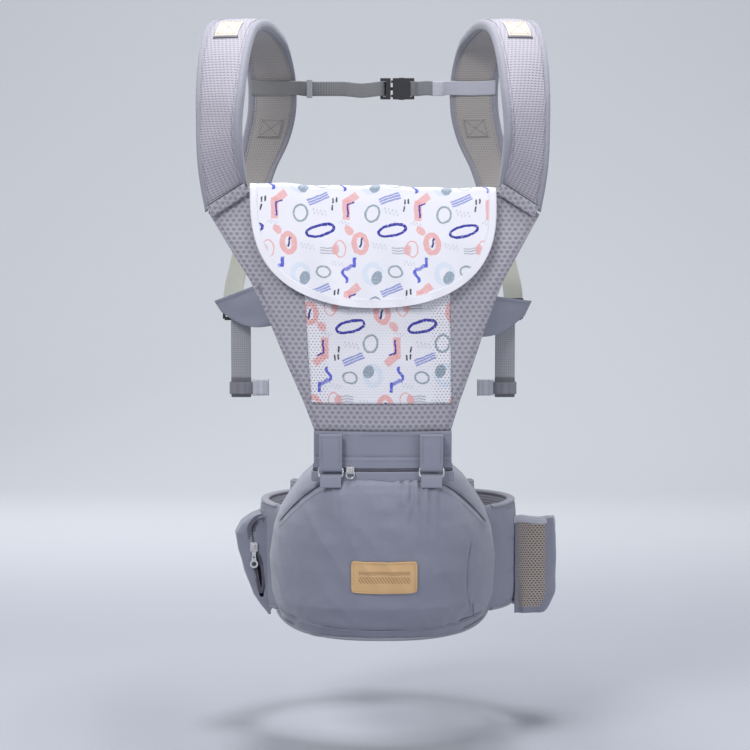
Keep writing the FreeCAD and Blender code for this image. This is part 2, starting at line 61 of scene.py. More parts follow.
class Graph:
    """A short way to add nodes and links to one node tree."""

    def __init__(self, tree):
        self.tree = tree

    def node(self, kind, **settings):
        made = self.tree.nodes.new(kind)
        for key, value in settings.items():
            setattr(made, key, value)
        return made

    def feed(self, socket, value):
        if isinstance(value, bpy.types.NodeSocket):
            self.tree.links.new(value, socket)
        elif value is not None:
            socket.default_value = value

    def math(self, operation, *values, clamp=False):
        made = self.node("ShaderNodeMath", operation=operation, use_clamp=clamp)
        for socket, value in zip(made.inputs, values):
            self.feed(socket, value)
        return made.outputs[0]

    def add(self, first, second):
        return self.math("ADD", first, second)

    def sub(self, first, second):
        return self.math("SUBTRACT", first, second)

    def mul(self, first, second):
        return self.math("MULTIPLY", first, second)

    def div(self, first, second):
        return self.math("DIVIDE", first, second)

    def vector(self, operation, *values):
        made = self.node("ShaderNodeVectorMath", operation=operation)
        for socket, value in zip(made.inputs, values):
            self.feed(socket, value)
        return made.outputs["Value" if operation == "LENGTH" else "Vector"]

    def split(self, vector):
        made = self.node("ShaderNodeSeparateXYZ")
        self.feed(made.inputs[0], vector)
        return made.outputs[0], made.outputs[1], made.outputs[2]

    def join(self, x, y, z=0.0):
        made = self.node("ShaderNodeCombineXYZ")
        for socket, value in zip(made.inputs, (x, y, z)):
            self.feed(socket, value)
        return made.outputs[0]

    def step(self, value, low, high):
        """0 below low, 1 above high, smooth between. With low above high it falls instead."""
        made = self.node("ShaderNodeMapRange", interpolation_type="SMOOTHSTEP")
        if low > high:
            ends = (high, low, 1.0, 0.0)
        else:
            ends = (low, high, 0.0, 1.0)
        for socket, number in zip(made.inputs[1:5], ends):
            socket.default_value = number
        self.feed(made.inputs[0], value)
        return made.outputs[0]

    def noise(self, vector, scale, detail=2.0):
        made = self.node("ShaderNodeTexNoise")
        self.feed(made.inputs["Vector"], vector)
        self.feed(made.inputs["Scale"], scale)
        self.feed(made.inputs["Detail"], detail)
        return made.outputs["Fac"]

    def mix(self, factor, first, second):
        made = self.node("ShaderNodeMix", data_type="RGBA")
        self.feed(made.inputs[0], factor)
        self.feed(made.inputs[6], first)
        self.feed(made.inputs[7], second)
        return made.outputs[2]

    def use(self, group, **values):
        made = self.node("ShaderNodeGroup")
        made.node_tree = group
        for key, value in values.items():
            self.feed(made.inputs[key.replace("_", " ")], value)
        return made.outputs


KINDS = {float: "NodeSocketFloat", tuple: "NodeSocketVector"}


def effect(name, inputs, outputs, build):
    """A shader node group. inputs gives each input's usual value; build returns the outputs in order."""
    tree = bpy.data.node_groups.new(name, "ShaderNodeTree")
    for key, value in inputs.items():
        socket = tree.interface.new_socket(key, in_out="INPUT", socket_type=KINDS[type(value)])
        socket.default_value = value
    for key in outputs:
        kind = "NodeSocketVector" if key == "Vector" else "NodeSocketFloat"
        tree.interface.new_socket(key, in_out="OUTPUT", socket_type=kind)
    graph = Graph(tree)
    enter, leave = graph.node("NodeGroupInput"), graph.node("NodeGroupOutput")
    results = build(graph, enter.outputs)
    for socket, value in zip(leave.inputs, results):
        graph.feed(socket, value)
    return tree


def build_weave(g, given):
    """Over and under of a plain weave, with slubs."""
    x, y, _ = g.split(given["Vector"])
    turns = g.div(TAU, given["Pitch"])
    across = g.math("SINE", g.mul(x, turns))
    along = g.math("SINE", g.mul(y, turns))
    slub = g.noise(g.vector("MULTIPLY", given["Vector"], (1.0, 0.15, 1.0)), 1400.0)
    return [g.add(g.mul(g.mul(across, along), 0.35), slub)]


def build_holes(g, given):
    """Staggered rows of oval holes."""
    x, y, _ = g.split(given["Vector"])
    x = g.add(x, g.mul(y, given["Slant"]))
    row = g.div(y, given["Along"])
    shift = g.mul(g.math("FLOORED_MODULO", g.math("FLOOR", row), 2.0), 0.5)
    column = g.add(g.div(x, given["Across"]), shift)
    dx = g.div(g.sub(g.math("FRACT", column), 0.5), given["Wide"])
    dy = g.div(g.sub(g.math("FRACT", row), 0.5), given["Tall"])
    away = g.math("SQRT", g.add(g.mul(dx, dx), g.mul(dy, dy)))
    return [g.step(away, 1.25, 0.55), g.step(away, 0.4, 1.5)]


def build_cloud(g, given):
    """A factor about 1 that drifts over the surface."""
    broad = g.noise(given["Vector"], given["Scale"], 3.0)
    fine = g.noise(given["Vector"], g.mul(given["Scale"], 9.0), 2.0)
    both = g.add(g.mul(broad, 0.65), g.mul(fine, 0.35))
    swing = g.mul(g.sub(both, 0.5), g.mul(given["Amount"], 2.0))
    return [g.add(1.0, swing)]


def build_ribs(g, given):
    """Weft ribs with a weaker warp."""
    x, y, _ = g.split(given["Vector"])
    weft = g.math("SINE", g.mul(y, g.div(TAU, given["Pitch"])))
    wide_pitch = g.mul(given["Pitch"], 1.7)
    warp = g.math("SINE", g.mul(x, g.div(TAU, wide_pitch)))
    return [g.add(0.5, g.add(g.mul(weft, 0.3), g.mul(warp, 0.2)))]


def build_place(g, given):
    """Coordinates about the middle of one motif, which repeats in every tile."""
    x, y, _ = g.split(given["Vector"])
    local = []
    for value, middle, tile in ((x, "X", "Tile X"), (y, "Y", "Tile Y")):
        half = g.mul(given[tile], 0.5)
        moved = g.add(g.sub(value, given[middle]), half)
        local.append(g.sub(g.math("FLOORED_MODULO", moved, given[tile]), half))
    turn = g.node("ShaderNodeVectorRotate", rotation_type="Z_AXIS")
    g.feed(turn.inputs["Vector"], g.join(*local))
    g.feed(turn.inputs["Angle"], g.mul(given["Turn"], -1.0))
    return [turn.outputs[0]]


def away_from_oval(g, given):
    """About the real distance from an oval's outline, below 0 inside it."""
    x, y, _ = g.split(given["Vector"])
    px, py = g.div(x, given["Wide"]), g.div(y, given["Tall"])
    qx, qy = g.div(px, given["Wide"]), g.div(py, given["Tall"])
    reach, slope = (g.math("SQRT", g.add(g.mul(a, a), g.mul(b, b)))
                    for a, b in ((px, py), (qx, qy)))
    return g.div(g.mul(reach, g.sub(reach, 1.0)), slope)


SOFT = 0.25 * MM


def build_ring(g, given):
    """An oval outline."""
    from_line = g.sub(g.math("ABSOLUTE", away_from_oval(g, given)), given["Line"])
    return [g.step(from_line, SOFT, -SOFT)]


def build_blob(g, given):
    """A filled oval."""
    return [g.step(away_from_oval(g, given), SOFT, -SOFT)]


def build_stroke(g, given):
    """Parallel wavy strokes of one length."""
    x, y, _ = g.split(given["Vector"])
    swing = g.math("SINE", g.mul(x, g.div(TAU, given["Period"])))
    y = g.sub(y, g.mul(swing, given["Wave"]))
    lane = g.math("FLOORED_MODULO", g.add(y, g.mul(given["Pitch"], 0.5)), given["Pitch"])
    off = g.math("ABSOLUTE", g.sub(lane, g.mul(given["Pitch"], 0.5)))
    inside = g.step(g.sub(off, given["Line"]), SOFT, -SOFT)
    ends = g.step(g.sub(g.math("ABSOLUTE", x), given["Wide"]), SOFT * 2, -SOFT * 2)
    rows = g.step(g.sub(g.math("ABSOLUTE", y), given["Tall"]), SOFT, -SOFT)
    return [g.mul(g.mul(inside, ends), rows)]


ORIGIN = (0.0, 0.0, 0.0)
WEAVE = effect("weave", {"Vector": ORIGIN, "Pitch": 0.7 * MM}, ["Height"], build_weave)
HOLES = effect("knit_holes", {"Vector": ORIGIN, "Across": 5 * MM, "Along": 4 * MM, "Wide": 0.3, "Tall": 0.3,
                              "Slant": 0.0}, ["Hole", "Height"], build_holes)
CLOUD = effect("uneven_tone", {"Vector": ORIGIN, "Scale": 12.0, "Amount": 0.08}, ["Factor"], build_cloud)
RIBS = effect("webbing_ribs", {"Vector": ORIGIN, "Pitch": 1.3 * MM}, ["Height"], build_ribs)
PLACE = effect("motif_place", {"Vector": ORIGIN, "X": 0.0, "Y": 0.0, "Turn": 0.0, "Tile X": 0.0883,
                               "Tile Y": 0.114}, ["Vector"], build_place)
RING = effect("motif_ring", {"Vector": ORIGIN, "Wide": 0.01, "Tall": 0.01, "Line": 0.001}, ["Mask"],
              build_ring)
BLOB = effect("motif_blob", {"Vector": ORIGIN, "Wide": 0.01, "Tall": 0.01}, ["Mask"], build_blob)
STROKE = effect("motif_strokes", {"Vector": ORIGIN, "Wide": 0.01, "Tall": 0.002, "Line": 0.001, "Pitch": 0.05,
                                  "Wave": 0.0, "Period": 0.01}, ["Mask"], build_stroke)


# ---------------------------------------------------------------- materials

def rgb(red, green, blue):
    """A colour given in the usual 0 to 255 display values, as the linear colour that a shader takes."""
    def linear(value):
        value /= 255
        return value / 12.92 if value <= 0.04045 else ((value + 0.055) / 1.055) ** 2.4
    return linear(red), linear(green), linear(blue), 1.0


COTTON = rgb(127, 130, 146)
MESH = rgb(157, 156, 166)
STRAP_MESH = rgb(156, 153, 165)
LINING = rgb(160, 156, 155)
WHITE = rgb(209, 209, 219)
BLUE = rgb(34, 36, 142)
PALE_BLUE = rgb(124, 134, 190)
SALMON = rgb(208, 152, 153)
SLATE = rgb(128, 143, 158)
MID_BLUE = rgb(56, 70, 186)
SLATE_PALE = rgb(176, 196, 216)
SLATE_DARK = rgb(96, 104, 124)
DARK = rgb(38, 50, 66)
DARK_BLUE = rgb(34, 36, 110)


def start_material(name, rough, sheen=0.0, metal=0.0):
    """A material with one principled shader, and the graph to fill."""
    made = bpy.data.materials.new(name)
    made.use_nodes = True
    made.node_tree.nodes.clear()
    graph = Graph(made.node_tree)
    shader = graph.node("ShaderNodeBsdfPrincipled")
    shader.inputs["Roughness"].default_value = rough
    shader.inputs["Metallic"].default_value = metal
    shader.inputs["Sheen Weight"].default_value = sheen
    shader.inputs["Sheen Roughness"].default_value = 0.5
    output = graph.node("ShaderNodeOutputMaterial")
    made.node_tree.links.new(shader.outputs[0], output.inputs[0])
    return made, graph, shader


def raise_surface(graph, shader, height, depth):
    """Gives the shader a fine relief."""
    bump = graph.node("ShaderNodeBump")
    bump.inputs["Distance"].default_value = depth
    graph.feed(bump.inputs["Height"], height)
    graph.feed(shader.inputs["Normal"], bump.outputs[0])


def surface_uv(graph):
    return graph.node("ShaderNodeUVMap", uv_map="UVMap").outputs[0]


def object_place(graph):
    return graph.node("ShaderNodeTexCoord").outputs["Object"]


def toned(graph, colour, factor):
    """A colour made lighter or darker by a factor that changes over the surface."""
    return graph.vector("MULTIPLY", colour[:3], graph.join(factor, factor, factor))


def woven(name, colour, pitch=0.7, rough=0.85, sheen=0.25, amount=0.07):
    """Plain woven cotton."""
    made, g, shader = start_material(name, rough, sheen)
    uv = surface_uv(g)
    height = g.use(WEAVE, Vector=uv, Pitch=pitch * MM)[0]
    tone = g.use(CLOUD, Vector=object_place(g), Scale=14.0, Amount=amount)[0]
    thread = g.add(0.9, g.mul(height, 0.18))
    g.feed(shader.inputs["Base Color"], toned(g, colour, g.mul(tone, thread)))
    raise_surface(g, shader, height, 0.12 * MM)
    return made


def knitted(name, colour, hole_colour, across, along, wide, tall, slant=0.0, depth=0.8, rough=0.8):
    """Spacer mesh: a knit with rows of small holes."""
    made, g, shader = start_material(name, rough, 0.2)
    uv = surface_uv(g)
    holes = g.use(HOLES, Vector=uv, Across=across * MM, Along=along * MM, Wide=wide, Tall=tall, Slant=slant)
    tone = g.use(CLOUD, Vector=object_place(g), Scale=12.0, Amount=0.08)[0]
    fibre = g.add(0.86, g.mul(g.noise(uv, 1500.0), 0.28))
    body = toned(g, colour, g.mul(tone, fibre))
    g.feed(shader.inputs["Base Color"], g.mix(holes[0], body, hole_colour))
    raise_surface(g, shader, g.add(holes[1], g.mul(fibre, 0.3)), depth * MM)
    return made


# kind, middle x and y, turn in degrees, half width, half height, half line, pitch, wave, period, colour and
# strength, all lengths in millimetres
MOTIFS = [
    ("stroke", 41, 99, 87, 13, 4.6, 4.6, 30, 0.5, 30, SALMON, 0.85),
    ("stroke", 48, 113, 38, 9, 4.8, 4.8, 30, 0, 0, SALMON, 0.85),
    ("stroke", 43, 98, 88, 8.5, 1.1, 1.1, 30, 0.4, 22, BLUE, 1),
    ("stroke", 47, 107, 22, 4.4, 1.0, 1.0, 30, 0, 0, BLUE, 1),
    ("stroke", 25, 110, 86, 3.4, 1.1, 1.1, 30, 0, 0, DARK, 1),
    ("stroke", 29.5, 111, 88, 3.4, 1.1, 1.1, 30, 0, 0, DARK, 1),
    ("stroke", 24, 101, 80, 3.6, 1.1, 1.1, 30, 0, 0, DARK, 1),
    ("ring", 73, 94, -16, 8.3, 10.4, 1.3, 0, 0, 0, SLATE, 0.95),
    ("stroke", 96.5, 96, -10, 9.5, 2.4, 0.65, 30, 3.0, 4.8, SLATE, 0.75),
    ("stroke", 95, 113, 22, 13.5, 4.2, 1.1, 3.1, 0, 0, PALE_BLUE, 0.95),
    ("ring", 97, 73, 14, 17.3, 6.6, 1.7, 0, 0, 0, BLUE, 1),
    ("blob", 44, 73, -50, 6.6, 4.6, 0, 0, 0, 0, SALMON, 0.85),
    ("stroke", 38, 82, -20, 6.5, 1.2, 0.6, 30, 1.8, 4.4, SLATE, 0.6),
    ("ring", 57.5, 56.6, 6, 7.4, 11.2, 3.3, 0, 0, 0, SALMON, 0.9),
    ("stroke", 58.5, 58, 62, 6, 1.3, 1.3, 30, 1.1, 17, DARK_BLUE, 1),
    ("stroke", 81, 53, -10, 9.5, 2.2, 0.65, 30, 2.8, 4.6, SLATE, 0.6),
    ("stroke", 107, 47.6, 0, 10.5, 4.4, 0.8, 3.2, 0.3, 12, SLATE_DARK, 0.55),
    ("ring", 121, 50, 4, 7.0, 10, 0.7, 0, 0, 0, SALMON, 1),
    ("blob", 115.5, 49, 0, 4.6, 6.6, 0, 0, 0, 0, SALMON, 0.8),
    ("stroke", 49.8, 33.5, 80, 6.0, 2.0, 2.0, 30, 0.6, 14, MID_BLUE, 0.95),
    ("stroke", 43.4, 27.0, 16, 7.6, 2.3, 2.3, 30, 1.0, 15, MID_BLUE, 0.75),
    ("stroke", 37.8, 16.5, 106, 8.6, 1.9, 1.9, 30, 1.5, 16, MID_BLUE, 0.95),
    ("ring", 72, 19, 0, 9.6, 11.6, 3.2, 0, 0, 0, SLATE_PALE, 0.5),
    ("blob", 77, 14, -22, 6.4, 8.4, 0, 0, 0, 0, SLATE, 0.95),
    ("ring", 100, 21.6, -14, 8.4, 6.8, 1.2, 0, 0, 0, SLATE, 0.95),
    ("stroke", 29, 32, -12, 7.5, 2, 0.6, 30, 2.2, 4.4, SLATE, 0.6)]


def add_print(g, uv, ground):
    """Loose shapes printed over a ground colour, a little uneven, as if drawn by hand."""
    shake = g.node("ShaderNodeTexNoise")
    g.feed(shake.inputs["Vector"], uv)
    shake.inputs["Scale"].default_value = 130.0
    off = g.vector("SUBTRACT", shake.outputs["Color"], (0.5, 0.5, 0.5))
    drawn = g.vector("ADD", uv, g.vector("MULTIPLY", off, (2.6 * MM, 2.6 * MM, 0.0)))
    ink = g.step(g.noise(uv, 420.0, 4.0), 0.12, 0.5)
    colour = ground
    for kind, x, y, turn, wide, tall, line, pitch, wave, period, paint, strength in MOTIFS:
        local = g.use(PLACE, Vector=drawn, X=x * MM, Y=y * MM, Turn=math.radians(turn))[0]
        if kind == "ring":
            mask = g.use(RING, Vector=local, Wide=wide * MM, Tall=tall * MM, Line=line * MM)[0]
        elif kind == "blob":
            mask = g.use(BLOB, Vector=local, Wide=wide * MM, Tall=tall * MM)[0]
        else:
            mask = g.use(STROKE, Vector=local, Wide=wide * MM, Tall=(tall + abs(wave)) * MM, Line=line * MM,
                         Pitch=pitch * MM, Wave=wave * MM, Period=max(period, 1) * MM)[0]
        amount = g.mul(mask, g.mul(ink, strength))
        colour = g.mix(amount, colour, paint)
    return colour


def printed_cotton():
    """White cotton with the print, plain along its hem."""
    made, g, shader = start_material("printed_cotton", 0.85, 0.2)
    uv = surface_uv(g)
    plain = g.node("ShaderNodeAttribute", attribute_name="hem").outputs["Fac"]
    height = g.use(WEAVE, Vector=uv, Pitch=0.6 * MM)[0]
    tone = g.use(CLOUD, Vector=uv, Scale=16.0, Amount=0.02)[0]
    printed = add_print(g, g.vector("ADD", uv, (74.5 * MM, 16 * MM, 0.0)), WHITE)
    colour = g.mix(plain, printed, WHITE)
    g.feed(shader.inputs["Base Color"], g.vector("MULTIPLY", colour, g.join(tone, tone, tone)))
    raise_surface(g, shader, height, 0.1 * MM)
    return made


def printed_net():
    """White net with the same print. Its holes are painted dark as the shade seen through them, most near the
    sides, where nothing lies behind it.
    """
    made, g, shader = start_material("printed_net", 0.8, 0.2)
    uv = surface_uv(g)
    turned = g.vector("MULTIPLY", uv, (-1.0, -1.0, 1.0))
    printed = add_print(g, g.vector("ADD", turned, (62.5 * MM, 11.5 * MM, 0.0)), WHITE)
    holes = g.use(HOLES, Vector=uv, Across=4.4 * MM, Along=3.4 * MM, Wide=0.2, Tall=0.17, Slant=0.0)
    x, _, _ = g.split(uv)
    side_hole_shade = g.add(0.16, g.mul(g.step(g.math("ABSOLUTE", x), 60 * MM, 70 * MM), 0.8))
    # Painted shade in the holes: dark, and strongest near the window's sides.
    colour = g.mix(g.mul(holes[0], side_hole_shade), printed, rgb(70, 70, 82))
    g.feed(shader.inputs["Base Color"], colour)
    raise_surface(g, shader, holes[1], 0.35 * MM)
    return made


def ribbed(name, colour, pitch=1.4, rough=0.6, sheen=0.1):
    """Woven webbing or knitted elastic, with its ribs across."""
    made, g, shader = start_material(name, rough, sheen)
    uv = surface_uv(g)
    height = g.use(RIBS, Vector=uv, Pitch=pitch * MM)[0]
    tone = g.use(CLOUD, Vector=uv, Scale=30.0, Amount=0.1)[0]
    shade = g.mul(tone, g.add(0.72, g.mul(height, 0.5)))
    g.feed(shader.inputs["Base Color"], toned(g, colour, shade))
    raise_surface(g, shader, height, 0.35 * MM)
    return made


def leather():
    """Tan label with plain pressed bars and a band of slanted pressed lines."""
    made, g, shader = start_material("tan_leather", 0.5)
    uv = surface_uv(g)
    colour = rgb(205, 168, 122)
    bars = g.use(STROKE, Vector=g.vector("SUBTRACT", uv, (0.0, 5 * MM, 0.0)), Wide=32 * MM, Tall=2.2 * MM,
                 Line=0.6 * MM, Pitch=1.9 * MM, Wave=0.0, Period=MM)[0]
    slats = g.node("ShaderNodeVectorRotate", rotation_type="Z_AXIS")
    g.feed(slats.inputs["Vector"], g.vector("ADD", uv, (0.0, 4 * MM, 0.0)))
    slats.inputs["Angle"].default_value = math.radians(55)
    x, y, _ = g.split(uv)
    slanted = g.use(STROKE, Vector=slats.outputs[0], Wide=0.1, Tall=0.1, Line=0.8 * MM, Pitch=3.2 * MM,
                    Wave=0.0, Period=MM)[0]
    low = g.mul(g.step(g.math("ABSOLUTE", g.add(y, 4 * MM)), 4.4 * MM, 4.0 * MM),
                 g.step(g.math("ABSOLUTE", x), 32.4 * MM, 32 * MM))
    pressed = g.math("MAXIMUM", bars, g.mul(slanted, low))
    grain = g.noise(uv, 900.0, 6.0)
    tone = g.use(CLOUD, Vector=uv, Scale=40.0, Amount=0.12)[0]
    g.feed(shader.inputs["Base Color"], g.mix(g.mul(pressed, 0.6), toned(g, colour, tone),
                                              rgb(150, 112, 72)))
    height = g.sub(g.mul(grain, 0.25), pressed)
    raise_surface(g, shader, height, 0.35 * MM)
    return made


def moulded(name, colour, rough=0.42):
    """Moulded plastic."""
    made, g, shader = start_material(name, rough)
    place = object_place(g)
    tone = g.use(CLOUD, Vector=place, Scale=60.0, Amount=0.1)[0]
    g.feed(shader.inputs["Base Color"], toned(g, colour, tone))
    raise_surface(g, shader, g.noise(place, 2600.0, 3.0), 0.05 * MM)
    return made


def plated(name, colour):
    """Plated metal, a little scratched."""
    made, g, shader = start_material(name, 0.26, metal=1.0)
    place = object_place(g)
    tone = g.use(CLOUD, Vector=place, Scale=90.0, Amount=0.1)[0]
    g.feed(shader.inputs["Base Color"], toned(g, colour, tone))
    rough = g.add(0.18, g.mul(g.noise(place, 700.0, 4.0), 0.2))
    g.feed(shader.inputs["Roughness"], rough)
    return made


def thread(name, colour):
    """Sewing thread."""
    made, g, shader = start_material(name, 0.6, 0.3)
    tone = g.use(CLOUD, Vector=object_place(g), Scale=400.0, Amount=0.15)[0]
    g.feed(shader.inputs["Base Color"], toned(g, colour, tone))
    return made


cotton = woven("cotton_blue_grey", COTTON)
cotton_edge = woven("cotton_binding", rgb(136, 137, 150))
# Dark cloth for the seam lines: painted shade in the seams' grooves.
seam_shade = woven("seam_shade", rgb(66, 68, 82))
# Dark cotton: painted shade for the inside of the zip pocket.
cotton_painted_shade = woven("pocket_inside_painted_shade", rgb(70, 71, 82))
panel_mesh = knitted("panel_mesh", MESH, rgb(127, 125, 140), 7.6, 5.6, 0.34, 0.40, 0.0, 0.6)
strap_mesh = knitted("strap_mesh", STRAP_MESH, rgb(136, 134, 149), 5.2, 3.3, 0.30, 0.26, 0.55, 0.7)
lining_knit = knitted("lining_knit", LINING, rgb(126, 121, 120), 3.4, 2.8, 0.26, 0.28, 0.0, 0.3)
belly_mesh = knitted("belly_mesh", rgb(150, 149, 160), rgb(104, 102, 114), 5.0, 4.2, 0.28, 0.28, 0.0, 0.6)
pocket_net = knitted("pocket_net", rgb(168, 158, 152), rgb(84, 74, 70), 3.4, 3.0, 0.34, 0.34, 0.0, 0.6)
bib_cloth = printed_cotton()
window_net = printed_net()
chest_web = ribbed("chest_webbing", rgb(112, 114, 118), 1.5)
side_web = ribbed("side_webbing", rgb(148, 150, 143), 1.5)
tail_web = ribbed("tail_webbing", rgb(142, 143, 152), 1.6)
# Dark webbing colour: the tail's rolled end, and painted shadow under the strap patch's lower edge.
tail_roll_and_patch_shadow = ribbed("tail_end", rgb(96, 97, 106), 1.6)
elastic = ribbed("elastic", rgb(186, 187, 200), 1.0, 0.75, 0.3)
keeper_band = ribbed("keeper_band", rgb(118, 119, 130), 1.0, 0.6, 0.2)
cream = ribbed("cream_webbing", rgb(205, 199, 190), 1.3, 0.8, 0.2)
grey_elastic = ribbed("grey_elastic", rgb(140, 140, 140), 1.0, 0.7, 0.3)
zip_tape = ribbed("zip_tape", rgb(96, 97, 112), 1.0, 0.8, 0.2)
label_leather = leather()
black_plastic = moulded("buckle_plastic", rgb(42, 43, 47))
clear_plastic = moulded("pale_plastic", rgb(160, 162, 166), 0.35)
nickel = plated("nickel", (0.72, 0.71, 0.72))
zip_coil = moulded("zip_coil", rgb(88, 89, 104), 0.4)
grey_thread = thread("grey_thread", rgb(112, 113, 130))
pale_thread = thread("pale_thread", rgb(205, 205, 215))
white_thread = thread("white_thread", rgb(205, 206, 216))
dark_thread = thread("dark_thread", rgb(92, 90, 96))
light_thread = thread("light_grey_thread", rgb(168, 168, 182))
tan_thread = thread("tan_thread", rgb(176, 138, 96))


# ---------------------------------------------------------------- making meshes

def new_piece(name, points, faces, corner_uvs=None, materials=(), face_slots=None):
    """A mesh object from points, faces and cloth coordinates."""
    mesh = bpy.data.meshes.new(name)
    mesh.from_pydata([tuple(p) for p in points], [], faces)
    if corner_uvs is not None:
        layer = mesh.uv_layers.new(name="UVMap")
        layer.data.foreach_set("uv", np.array(corner_uvs, np.float32).ravel())
    for item in materials:
        mesh.materials.append(item)
    if face_slots is not None:
        mesh.polygons.foreach_set("material_index", face_slots)
    mesh.polygons.foreach_set("use_smooth", [True] * len(mesh.polygons))
    mesh.update()
    made = bpy.data.objects.new(name, mesh)
    bpy.context.scene.collection.objects.link(made)
    return made


def grid(name, place, across, along, materials, closed=False, caps=False, slot_of=None):
    """A surface from place(u, v), which returns a point and its two cloth coordinates. u runs across or
    round, v along. A closed surface joins its last column to its first, and caps close its ends."""
    columns = across if closed else across + 1
    points, uvs = [], []
    for j in range(along + 1):
        for i in range(across + 1):
            point, uv = place(i / across, j / along)
            if i < columns:
                points.append(point)
            uvs.append(uv)
    faces, corners, slots = [], [], []
    for j in range(along):
        for i in range(across):
            k = (i + 1) % columns
            faces.append((j * columns + i, j * columns + k, (j + 1) * columns + k, (j + 1) * columns + i))
            row, above = j * (across + 1) + i, (j + 1) * (across + 1) + i
            corners += [uvs[row], uvs[row + 1], uvs[above + 1], uvs[above]]
            slots.append(slot_of((i + 0.5) / across, (j + 0.5) / along) if slot_of else 0)
    if caps:
        for j, order in ((0, -1), (along, 1)):
            ring = list(range(j * columns, (j + 1) * columns))[::order]
            faces.append(tuple(ring))
            corners += [uvs[j * (across + 1) + (index % columns)] for index in ring]
            slots.append(slots[0] if slots else 0)
    made = new_piece(name, points, faces, corners, materials, slots)
    return outwards(made)


def outwards(made):
    """Turns all faces outwards."""
    work = bmesh.new()
    work.from_mesh(made.data)
    bmesh.ops.recalc_face_normals(work, faces=work.faces)
    work.to_mesh(made.data)
    work.free()
    return made


def settle(made):
    """Applies the modifiers, so that the piece is a plain mesh."""
    bpy.context.view_layer.update()
    shaped = made.evaluated_get(bpy.context.evaluated_depsgraph_get())
    mesh = bpy.data.meshes.new_from_object(shaped)
    mesh.name = made.name
    made.modifiers.clear()
    made.data = mesh
    return made


def thicken(made, thickness, offset=-1.0):
    solid = made.modifiers.new("thickness", "SOLIDIFY")
    solid.thickness = thickness
    solid.offset = offset
    return settle(made)


def blend_rows(rows, t):
    """A row of numbers on a smooth curve through the given rows, at t from 0 to 1."""
    rows = np.asarray(rows, float)
    place = min(max(t, 0.0), 1.0) * (len(rows) - 1)
    i = min(int(place), len(rows) - 2)
    f = place - i
    before, here, after, beyond = (rows[min(max(k, 0), len(rows) - 1)] for k in (i - 1, i, i + 1, i + 2))
    if i == 0:
        before = 2 * here - after
    if i == len(rows) - 2:
        beyond = 2 * after - here
    return 0.5 * (2 * here + (after - before) * f + (2 * before - 5 * here + 4 * after - beyond) * f ** 2
                  + (3 * here - before - 3 * after + beyond) * f ** 3)


def direction(rows, v):
    """Where the curve through the rows points at v. The rows start with x, y and z."""
    ahead, behind = blend_rows(rows, min(v + 0.01, 1)), blend_rows(rows, max(v - 0.01, 0))
    return Vector(ahead[:3] - behind[:3]).normalized()


def power(value, exponent):
    """A power that keeps the sign of the value."""
    return math.copysign(abs(value) ** exponent, value)


def moved(path, x, y, z):
    """The same path, shifted."""
    return [p + Vector((x, y, z)) for p in path]


def put(piece, body, slot, *nodes):
    """Keeps a piece on a body, in place of the CAD nodes that are named. Its slot is not used."""
    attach(piece, body)
    if nodes:
        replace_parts(piece, *nodes)
    return piece


def ribbon(name, path, width, thickness, material, across=None, steps=None, bulge=0.25):
    """A flat band with rounded edges along a path. across gives its width direction at each point."""
    path = [Vector(p) for p in path]
    across = across or [(0, 0, 1)] * len(path)
    rows = [list(p) + list(a) for p, a in zip(path, across)]
    steps = steps or max(8, 6 * (len(path) - 1))
    length = sum((b - a).length for a, b in zip(path, path[1:]))
    widths = width if isinstance(width, (list, tuple)) else [width] * len(path)

    def place(u, v):
        here = blend_rows(rows, v)
        along = direction(rows, v)
        side = Vector(here[3:]).normalized()
        out = side.cross(along).normalized()
        wide = float(blend_rows([[w] for w in widths], v)[0])
        a = TAU * u
        x = power(math.cos(a), bulge) * wide / 2
        y = power(math.sin(a), 0.6) * thickness / 2
        return Vector(here[:3]) + side * x + out * y, (x, v * length)
    return grid(name, place, 24, steps, [material], closed=True, caps=True)


def wire_loop(name, points, radius, material, closed=True, sides=10):
    """A round wire through the given points, with its corners rounded by the spline."""
    curve = bpy.data.curves.new(name, "CURVE")
    curve.dimensions = "3D"
    curve.bevel_depth = radius
    curve.bevel_resolution = sides // 4
    curve.resolution_u = 6
    spline = curve.splines.new("NURBS")
    spline.points.add(len(points) - 1)
    for item, point in zip(spline.points, points):
        item.co = (*point, 1.0)
    spline.order_u = 3
    spline.use_cyclic_u = closed
    spline.use_endpoint_u = not closed
    made = bpy.data.objects.new(name, curve)
    bpy.context.scene.collection.objects.link(made)
    bpy.context.view_layer.update()
    mesh = bpy.data.meshes.new_from_object(made.evaluated_get(bpy.context.evaluated_depsgraph_get()))
    bpy.data.objects.remove(made)
    mesh.materials.clear()
    mesh.materials.append(material)
    mesh.polygons.foreach_set("use_smooth", [True] * len(mesh.polygons))
    made = bpy.data.objects.new(name, mesh)
    bpy.context.scene.collection.objects.link(made)
    return made


def rounded_copy(name, node, material, radius):
    """The CAD piece with its sharp edges rounded and its own finish."""
    made = bpy.data.objects.new(name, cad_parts[node].data.copy())
    bpy.context.scene.collection.objects.link(made)
    work = bmesh.new()
    work.from_mesh(made.data)
    bmesh.ops.remove_doubles(work, verts=work.verts, dist=1e-6)
    bmesh.ops.dissolve_limit(work, angle_limit=math.radians(1), verts=work.verts, edges=work.edges)
    work.to_mesh(made.data)
    work.free()
    made.data.materials.clear()
    made.data.materials.append(material)
    edge = made.modifiers.new("edge", "BEVEL")
    edge.width = radius
    edge.segments = 2
    edge.limit_method = "ANGLE"
    edge.angle_limit = math.radians(35)
    settle(made)
    made.data.polygons.foreach_set("use_smooth", [False] * len(made.data.polygons))
    made.data.materials.clear()
    made.data.materials.append(material)
    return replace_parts(made, node)


# ---------------------------------------------------------------- rows of stitches and teeth

